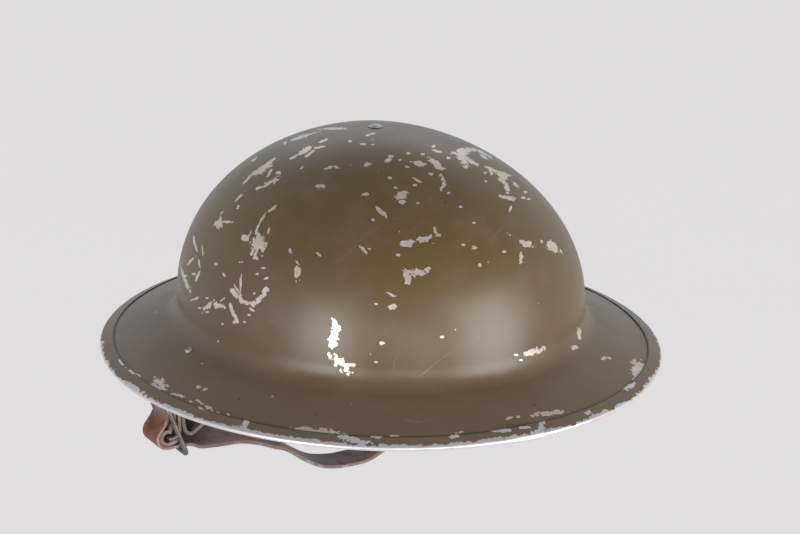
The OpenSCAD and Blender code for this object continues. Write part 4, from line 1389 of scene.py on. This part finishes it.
def tilt(piece, stations, most):
    """Leans a strap by stations of x and angle: about its middle, and past the most about its lower edge"""
    half = max(vertex.co.y for vertex in piece.data.vertices)
    for vertex in piece.data.vertices:
        x, y, z = vertex.co
        for (x0, a0), (x1, a1) in zip(stations, stations[1:]):
            if x0 * MM <= x <= x1 * MM:
                share = (x / MM - x0) / (x1 - x0)
                lean = radians(a0 + (a1 - a0) * share * share * (3 - 2 * share))
                lift = half * max(0.0, sin(lean) - sin(radians(most)))
                vertex.co = (x, y * cos(lean), z - y * sin(lean) + lift)
                break


def rub(piece, weight, name="rubbed"):
    """Marks how far the leather is rubbed, or how dark the brim's painted shadow makes it"""
    mark(piece, name, [weight(vertex.co) for vertex in piece.data.vertices])


class HELMET_OT_straps(bpy.types.Operator):
    """Lay the short strap and the chinstrap through the bails and the buckle"""
    bl_idname = "helmet.straps"
    bl_label = "Leather straps"
    # How far the chinstrap leans to the side, as places along X in millimetres and degrees
    lean_at = [(-15, 0), (20, 2), (60, 3), (76, 20), (91, 34), (102, 32), (119, 0)]
    # Where the brim's painted shadow darkens it: the middle and half the length of that stretch
    handled_x, handled_half = 97 * MM, 26 * MM
    # Where it twists when the buckle swings: how far from the right bail's bar, and over what length
    twist_from, twist_over = 26.5 * MM, 84 * MM
    # The same for the short strap: between these two depths below the left bail's bar
    twist_top, twist_end = 8.5 * MM, 15 * MM

    def handled(self, co):
        """How dark the brim's painted shadow makes the chinstrap at a place"""
        return 0.8 * max(0.0, 1 - ((co.x - self.handled_x) / self.handled_half) ** 2)

    def execute(self, context):
        plan, f = StrapPlan(), settings("helmet_finish")
        hide = leather("chinstrap_leather", f.leather, f.leather_worn, f.leather_edge)
        width, thick = plan.width * MM, plan.t * MM
        short = ribbon("leather_short_strap", in_metres(plan.short()), width, thick)
        chin = ribbon("leather_chin_strap", in_metres(plan.chin()), width, thick)
        for piece, seed in ((short, 0.2), (chin, 0.5)):
            bump(piece, 0.25 * MM, 9 * MM, seed)
            smooth_by(piece, 50)
        tilt(chin, self.lean_at, 14)
        coil_x = plan.coil[0] * MM
        rub(short, lambda co: 0.35)
        rub(chin, lambda co: min(1.0, max(0.0, (co.x - coil_x + 2 * MM) / (4 * MM))))
        # Painted shadow: the short strap's tail and the chinstrap near the buckle, where the brim shades them
        rub(short, lambda co: 0.9 if co.x < plan.inner_x * MM + 1.3 * MM else 0.0, "handled")
        rub(chin, self.handled, "handled")
        for piece, node in ((short, "short_strap"), (chin, "chin_strap")):
            coat(piece, hide)
            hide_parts(node)
            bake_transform(piece)
        return {"FINISHED"}


class HELMET_OT_strap_rivets(bpy.types.Operator):
    """Rivet the short strap and the chinstrap's right end"""
    bl_idname = "helmet.strap_rivets"
    bl_label = "Strap rivets"

    def execute(self, context):
        plan, f = StrapPlan(), settings("helmet_fittings")
        dark = bare_steel("strap_rivet_steel", settings("helmet_finish").wire, 0.45)
        radius, height, pin_r = f.strap_head / 2, 1.1 * MM, 1.3 * MM
        face = plan.inner_x - plan.t / 2
        far = plan.lap_x + plan.t / 2
        level = (plan.bar[1] - plan.rivet_low) * MM
        head = place(dome("short_head", radius, height), (face * MM, 0, level), (0, -pi / 2, 0))
        pin = wire("short_pin", [(x * MM, 0, level) for x in (face, far + 0.4)], pin_r)
        rivet = join("steel_short_strap_rivet", [head, pin])
        dress(rivet, "strap_ends", "strap_rivet", dark, "short_strap_rivet")
        before, here = plan.doubled()[plan.rivet_i - 1:plan.rivet_i + 1]
        lean = atan2(here[1] - before[1], here[0] - before[0])
        low = place(dome("chin_head", radius, height), (0, 0, -plan.t / 2 * MM), (pi, 0, 0))
        top = place(dome("chin_clinch", radius - 0.7 * MM, 0.8 * MM), (0, 0, (1.5 * plan.t + 0.3) * MM))
        pin = wire("chin_pin", [(0, 0, -plan.t / 2 * MM), (0, 0, 1.5 * plan.t * MM)], pin_r)
        rivet = join("steel_chin_strap_rivet", [low, top, pin])
        place(rivet, (here[0] * MM, 0, here[1] * MM), (0, -lean, 0))
        dress(rivet, "strap_ends", "strap_rivet", dark, "chin_strap_rivet")
        return {"FINISHED"}


# Liner


def closed_oval(name, rx, ry, z, thick, height, segments=192, edge=0.3 * MM, steps=8):
    """Oval band of even thickness with rounded edges, its outer face on the given half width and length"""
    rings = [(rx - edge, z), (rx, z + edge)]
    rings += [(rx, z + edge + (height - 2 * edge) * i / steps) for i in range(1, steps + 1)]
    rings += [(rx - edge, z + height), (rx - thick + edge, z + height)]
    rings += [(rx - thick, z + height - edge - (height - 2 * edge) * i / steps) for i in range(steps + 1)]
    rings += [(rx - thick + edge, z)]
    return stack(name, [(r, ry - rx + r, 0, level) for r, level in rings], segments, closed=True)


class HELMET_OT_liner_band(bpy.types.Operator):
    """Bend the hoop and sew the leather sweatband"""
    bl_idname = "helmet.liner_band"
    bl_label = "Hoop and sweatband"
    stitches = 110

    def execute(self, context):
        f = settings("helmet_finish")
        hoop = closed_oval("steel_hoop", hoop_high.x, hoop_high.y, hoop_low.z, 0.8 * MM,
                           hoop_high.z - hoop_low.z, edge=0.15 * MM)
        smooth_by(hoop)
        dress(hoop, "helmet", "hoop", bare_steel("dull_steel", f.steel_dull), "hoop")
        band = closed_oval("leather_sweatband", sweat_high.x, sweat_high.y, sweat_low.z, SWEAT_T,
                           sweat_high.z - sweat_low.z, edge=0.5 * MM, steps=14)
        bump(band, 0.5 * MM, 14 * MM, 0.3)
        smooth_by(band, 60)
        rub(band, lambda co: 0.25)
        mark_edges(band, axis=2, least=0.8)
        hide = leather("sweatband_leather", f.sweat, f.sweat, f.leather_edge)
        dress(band, "helmet", "sweatband", hide, "sweatband")
        release()
        bpy.ops.mesh.primitive_uv_sphere_add(segments=6, ring_count=4, radius=1)
        stitch = place(named("stitch"), scale=(0.35 * MM, 1.3 * MM, 0.4 * MM))
        seam = set_round("thread_sweatband_seam", stitch, self.stitches, sweat_high.x - SWEAT_T,
                         sweat_high.y - SWEAT_T, sweat_high.z - 3 * MM)
        dress(smooth_by(seam, 60), "helmet", "sweatband", woven("waxed_thread", f.thread, 0.3))
        return {"FINISHED"}


class HELMET_OT_buffers(bpy.types.Operator):
    """Set the rubber buffers round the hoop"""
    bl_idname = "helmet.buffers"
    bl_label = "Rubber buffers"

    def execute(self, context):
        soft = settings("helmet_soft")
        r, h = soft.buffer / 2, soft.buffer_h
        inner, edge = r - soft.buffer / 5, 0.35 * MM
        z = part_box("buffers")[0].z
        rings = [(r - edge, 0), (r, edge), (r, h / 2), (r, h - edge), (r - edge, h), (inner + edge, h),
                 (inner, h - edge), (inner, edge), (inner + edge, 0)]
        tube = stack("buffer", [(a, a, 0, level) for a, level in rings], 32, closed=True)
        buffers = set_round("rubber_buffers", tube, soft.buffers, hoop_high.x, hoop_high.y, z, off=r + CLEAR,
                            first=0.5, turned=False)
        rubber = aged_rubber("aged_rubber", settings("helmet_finish").rubber)
        dress(smooth_by(buffers, 50), "helmet", "buffers", rubber, "buffers")
        return {"FINISHED"}


class HELMET_OT_crown_straps(bpy.types.Operator):
    """Sew the two cotton straps that cross under the crown"""
    bl_idname = "helmet.crown_straps"
    bl_label = "Crown straps"

    def execute(self, context):
        section = Section()
        soft = settings("helmet_soft")
        tape = woven("cotton_tape", settings("helmet_finish").tape)
        half = soft.tape_t / 2
        lean = section.lean(section.s.crown_h)
        for name, node, depth, turned in (("cotton_cross_strap", "cross_strap", 2.0 * MM, False),
                                          ("cotton_long_strap", "long_strap", 4.2 * MM, True)):
            low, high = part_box(node)
            face = (high.y if turned else high.x) - half
            inner = section.inward(depth + half)
            path = []
            for side in (-1, 1):
                if turned:
                    run = [(side * section.half_l(r) + section.lean(z), z) for r, z in inner]
                else:
                    run = [(side * r, z) for r, z in inner]
                run = [p for p in run if abs(p[0]) < face - 1.2 * MM and p[1] > hoop_high.z + 9 * MM]
                foot = [(side * face, z) for z in (hoop_high.z + 3 * MM, hoop_high.z - 8 * MM, low.z)]
                bend = (side * (face - 0.1 * MM), hoop_high.z + 6 * MM)
                bridge = smooth([run[-2], run[-1], bend, foot[0]], 5)
                whole = run[:-2] + bridge + foot
                path = whole[::-1] if side < 0 else path + whole[1:]
            strap = ribbon(name, path, soft.tape_w, soft.tape_t, 6, 0.3 * MM)
            if turned:
                place(strap, rotation=(0, 0, pi / 2))
            else:
                place(strap, location=(0, lean, 0))
            dress(strap, "helmet", "crown_strap", tape, node)
        return {"FINISHED"}


class HELMET_OT_crown_pad(bpy.types.Operator):
    """Cut the felt pad under the crown"""
    bl_idname = "helmet.crown_pad"
    bl_label = "Crown pad"

    def execute(self, context):
        section = Section()
        soft = settings("helmet_soft")
        r = soft.pad / 2
        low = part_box("crown_pad")[0].z
        top = [(x, z) for x, z in section.inward(6.1 * MM) if x < r - 2.5 * MM][::-1]
        edge_z = top[0][1]
        rings = [(r * share, low + 0.4 * MM * (share ** 4)) for share in (0.05, 0.2, 0.4, 0.6, 0.8, 0.92)]
        middle = (low + edge_z) / 2 - 0.5 * MM
        rings += [(r - 0.6 * MM, low + 1.2 * MM), (r, middle), (r - 0.8 * MM, edge_z - 1.6 * MM)]
        rings += [(x, z - 0.3 * MM) for x, z in top if x > 0.4 * MM]
        pad = stack("felt_crown_pad", [(x, x, 0, z) for x, z in rings], 96, top=(0, top[-1][1] - 0.3 * MM))
        fill_holes(pad)
        place(pad, (0, section.lean(section.s.crown_h), 0))
        modify(pad, "SUBSURF", levels=1, render_levels=1)
        bump(pad, 0.7 * MM, 5 * MM, 0.4)
        smooth_by(pad, 60)
        dress(pad, "helmet", "crown_pad", matted("wool_felt", settings("helmet_finish").felt), "crown_pad")
        return {"FINISHED"}


class HELMET_OT_lining(bpy.types.Operator):
    """Gather the oilcloth lining to its tongues and thread the draw cord"""
    bl_idname = "helmet.lining"
    bl_label = "Lining and draw cord"
    segments = 288

    def execute(self, context):
        soft, f = settings("helmet_soft"), settings("helmet_finish")
        t, cord = soft.lining_t, soft.cord
        cloth_r = sweat_high.x - SWEAT_T - CLEAR - t / 2
        share = (sweat_high.y - SWEAT_T) / (sweat_high.x - SWEAT_T)
        cloth_z = sweat_high.z - 10 * MM
        cord_z = sweat_high.z + soft.lining_rise
        hem = cord / 2 + CLEAR + t / 2
        draw = soft.draw_r
        path = [(cloth_r, cloth_z + 2.5 * MM * i) for i in range(5)]
        path += [(draw + 4 * MM + (cloth_r - draw - 4 * MM) * cos(radians(a)) ** 1.5,
                  cloth_z + 10 * MM + (cord_z + hem - cloth_z - 10 * MM) * sin(radians(a)))
                 for a in range(6, 84, 6)]
        path += [(draw + hem * cos(radians(a)), cord_z + hem * sin(radians(a))) for a in range(90, 361, 30)]
        cloth = stack("oilcloth_lining", [(r, r * share, 0, z) for r, z in path], self.segments)
        self.cut_slots(cloth, soft, cloth_z + 20 * MM, share)
        self.gather(cloth, soft, cloth_z + 12 * MM, cord_z, share)
        modify(cloth, "SOLIDIFY", thickness=t * 0.8, offset=0, use_even_offset=True)
        smooth_by(cloth, 60)
        dress(cloth, "helmet", "lining", oiled_cloth("black_oilcloth", f.oilcloth), "lining")
        self.thread(soft, f, cord_z, draw, share)
        return {"FINISHED"}

    def cut_slots(self, cloth, soft, low, share):
        """Takes the cloth away between the tongues"""
        def in_slot(face):
            centre = face.calc_center_median()
            turn = atan2(centre.y / share, centre.x) * soft.tongues / (2 * pi)
            off = (turn % 1 - 0.5) * 2 * pi / soft.tongues
            across = abs(hypot(centre.x, centre.y) * sin(off))
            wide = soft.tongue_gap / 2 * min(1.0, (centre.z - low) / (6 * MM)) if centre.z > low else -1
            return across < wide
        pick(cloth, "FACE", in_slot)
        bpy.ops.mesh.delete(type="FACE")
        bpy.ops.mesh.select_mode(type="VERT")
        release()

    def gather(self, cloth, soft, low, high, share):
        """Presses soft folds into the cloth towards the draw cord"""
        for vertex in cloth.data.vertices:
            x, y, z = vertex.co
            rise = min(1.0, max(0.0, (z - low) / (high - low)))
            turn = atan2(y / share, x)
            r = hypot(x, y)
            fold = 1.1 * MM * rise * (1 - rise) * 2.5 * sin(turn * soft.tongues * 3)
            sink = -1.2 * MM * rise * (1 - rise) * 4 * (0.5 - 0.5 * cos(turn * soft.tongues))
            vertex.co = (x * (1 + fold / r), y * (1 + fold / r), z + sink)

    def thread(self, soft, f, cord_z, draw, share):
        """Two strands laid round each other in a ring"""
        lay, strand = 26, soft.cord / 4
        made = []
        for number in (0, 1):
            points = []
            for i in range(lay * 10):
                turn = 2 * pi * i / (lay * 10)
                twist = turn * lay + pi * number
                r = draw + strand * cos(twist)
                points.append((r * cos(turn), r * sin(turn) * share, cord_z + strand * sin(twist)))
            made.append(wire("strand_%d" % number, points, strand * 1.05, closed=True, sides=1))
        cord = join("cotton_draw_cord", made)
        dress(cord, "helmet", "draw_cord", woven("cotton_cord", f.cotton, 0.35), "draw_cord")


class HELMET_OT_stage(bpy.types.Operator):
    """Lay a pale floor, hang soft lamps and set up the camera of the photograph"""
    bl_idname = "helmet.stage"
    bl_label = "Stage"
    # Height of the floor, and the share of it that shines by itself where it is seen
    floor_z, pale = -0.62, 0.9
    # Each soft lamp's turn and rise in degrees, its distance, its two sides and its power
    lamps = {"left_softbox": (114, 2, 1.2, (0.48, 0.9), 10.6),
             "right_softbox": (203, 3, 1.2, (0.8, 1.15), 19.5),
             "front_softbox": (160, 2, 1.2, (0.5, 0.6), 2.6),
             "back_softbox": (329, 33, 1.4, (1.0, 0.5), 1.4)}

    def execute(self, context):
        scene = context.scene
        scene.view_settings.view_transform = "Standard"
        release()
        bpy.ops.mesh.primitive_circle_add(vertices=96, radius=6, fill_type="NGON",
                                          location=(0, 0, self.floor_z))
        floor = named("floor")
        backdrop = settings("helmet_finish").backdrop
        floor.data.materials.append(self.paper(backdrop))
        self.sky(scene, backdrop)
        for name, (turn, rise, away, size, power) in self.lamps.items():
            self.lamp(name, radians(turn), radians(rise), away, size, power)
        release()
        bpy.ops.object.camera_add()
        camera = bpy.context.object
        camera.name = "photo_camera"
        camera.matrix_world = view_matrix()
        camera.data.sensor_width = SENSOR
        camera.data.lens = LENS
        camera.data.shift_x, camera.data.shift_y = SHIFT_X, SHIFT_Y
        scene.camera = camera
        return {"FINISHED"}

    def paper(self, tint):
        """Pale paper that shines by itself where it is seen, and is clear from below"""
        material, t, bsdf = shader("backdrop_paper")
        clouds = t.step(t.noise(t.spot(), 2), 0.3, 0.7)
        t.fill(bsdf, {"Base Color": t.mix(clouds, tint, shaded(tint, 0.96)), "Roughness": 0.9,
                      "Specular IOR Level": 0.0})
        glow = t.add("Emission", {"Color": tint})
        lit = t.add("MixShader", {0: t.times(t.seen(), self.pale), 1: bsdf.outputs[0], 2: glow.outputs[0]})
        clear = t.add("BsdfTransparent")
        back = t.add("NewGeometry").outputs["Backfacing"]
        mixed = t.add("MixShader", {0: back, 1: lit.outputs[0], 2: clear.outputs[0]})
        t.fill(t.tree.nodes["Material Output"], {"Surface": mixed.outputs[0]})
        return material

    def sky(self, scene, tint):
        """Pale all round, darker overhead, and weaker where it only lights the helmet"""
        world = bpy.data.worlds.new("studio")
        scene.world = world
        world.use_nodes = True
        t = Tree(world.node_tree)
        height = t.add("SeparateXYZ", {0: t.add("TexCoord").outputs["Generated"]}).outputs[2]
        ceiling = t.step(height, 0.42, 0.8, 1.0, 0.3)
        shown = t.most(ceiling, t.add("LightPath").outputs["Is Camera Ray"])
        t.fill(t.tree.nodes["Background"], {"Color": tint, "Strength": t.blend(t.seen(), 0.86, shown)})

    def lamp(self, name, turn, rise, away, size, power):
        release()
        place_at = outward(turn, rise) * away
        bpy.ops.object.light_add(type="AREA", location=place_at)
        lamp = bpy.context.object
        lamp.name = name
        lamp.rotation_euler = place_at.to_track_quat("Z", "Y").to_euler()
        lamp.data.shape = "RECTANGLE"
        lamp.data.size, lamp.data.size_y = size
        lamp.data.energy = power
        lamp.visible_camera = False


PIECES = (HELMET_OT_shell, HELMET_OT_rim_band, HELMET_OT_chips, HELMET_OT_crown_rivet, HELMET_OT_lugs,
          HELMET_OT_bails, HELMET_OT_slide_buckle, HELMET_OT_straps, HELMET_OT_strap_rivets,
          HELMET_OT_liner_band, HELMET_OT_buffers, HELMET_OT_crown_straps, HELMET_OT_crown_pad,
          HELMET_OT_lining, HELMET_OT_stage)
GROUPS = (("helmet_shell", ShellSize), ("helmet_fittings", FittingSize), ("helmet_soft", SoftSize),
          ("helmet_finish", Finish))


class HELMET_PT_panel(bpy.types.Panel):
    """Sizes, finishes and pieces of the helmet"""
    bl_idname = "HELMET_PT_panel"
    bl_label = "Helmet"
    bl_space_type = "VIEW_3D"
    bl_region_type = "UI"
    bl_category = "Helmet"

    def draw(self, context):
        for name, kind in GROUPS:
            box = self.layout.box()
            box.label(text=kind.__doc__)
            for key in kind.__annotations__:
                box.prop(settings(name), key)
        for piece in PIECES:
            self.layout.operator(piece.bl_idname)


def register():
    for name, kind in GROUPS:
        bpy.utils.register_class(kind)
        setattr(bpy.types.Scene, name, PointerProperty(type=kind))
    for kind in PIECES + (HELMET_PT_panel,):
        bpy.utils.register_class(kind)


def unregister():
    for kind in (HELMET_PT_panel,) + PIECES[::-1]:
        bpy.utils.unregister_class(kind)
    for name, kind in GROUPS[::-1]:
        delattr(bpy.types.Scene, name)
        bpy.utils.unregister_class(kind)


def main():
    register()
    for piece in PIECES:
        family, name = piece.bl_idname.split(".")
        getattr(getattr(bpy.ops, family), name)()
    release()


if __name__ == "__main__":
    main()
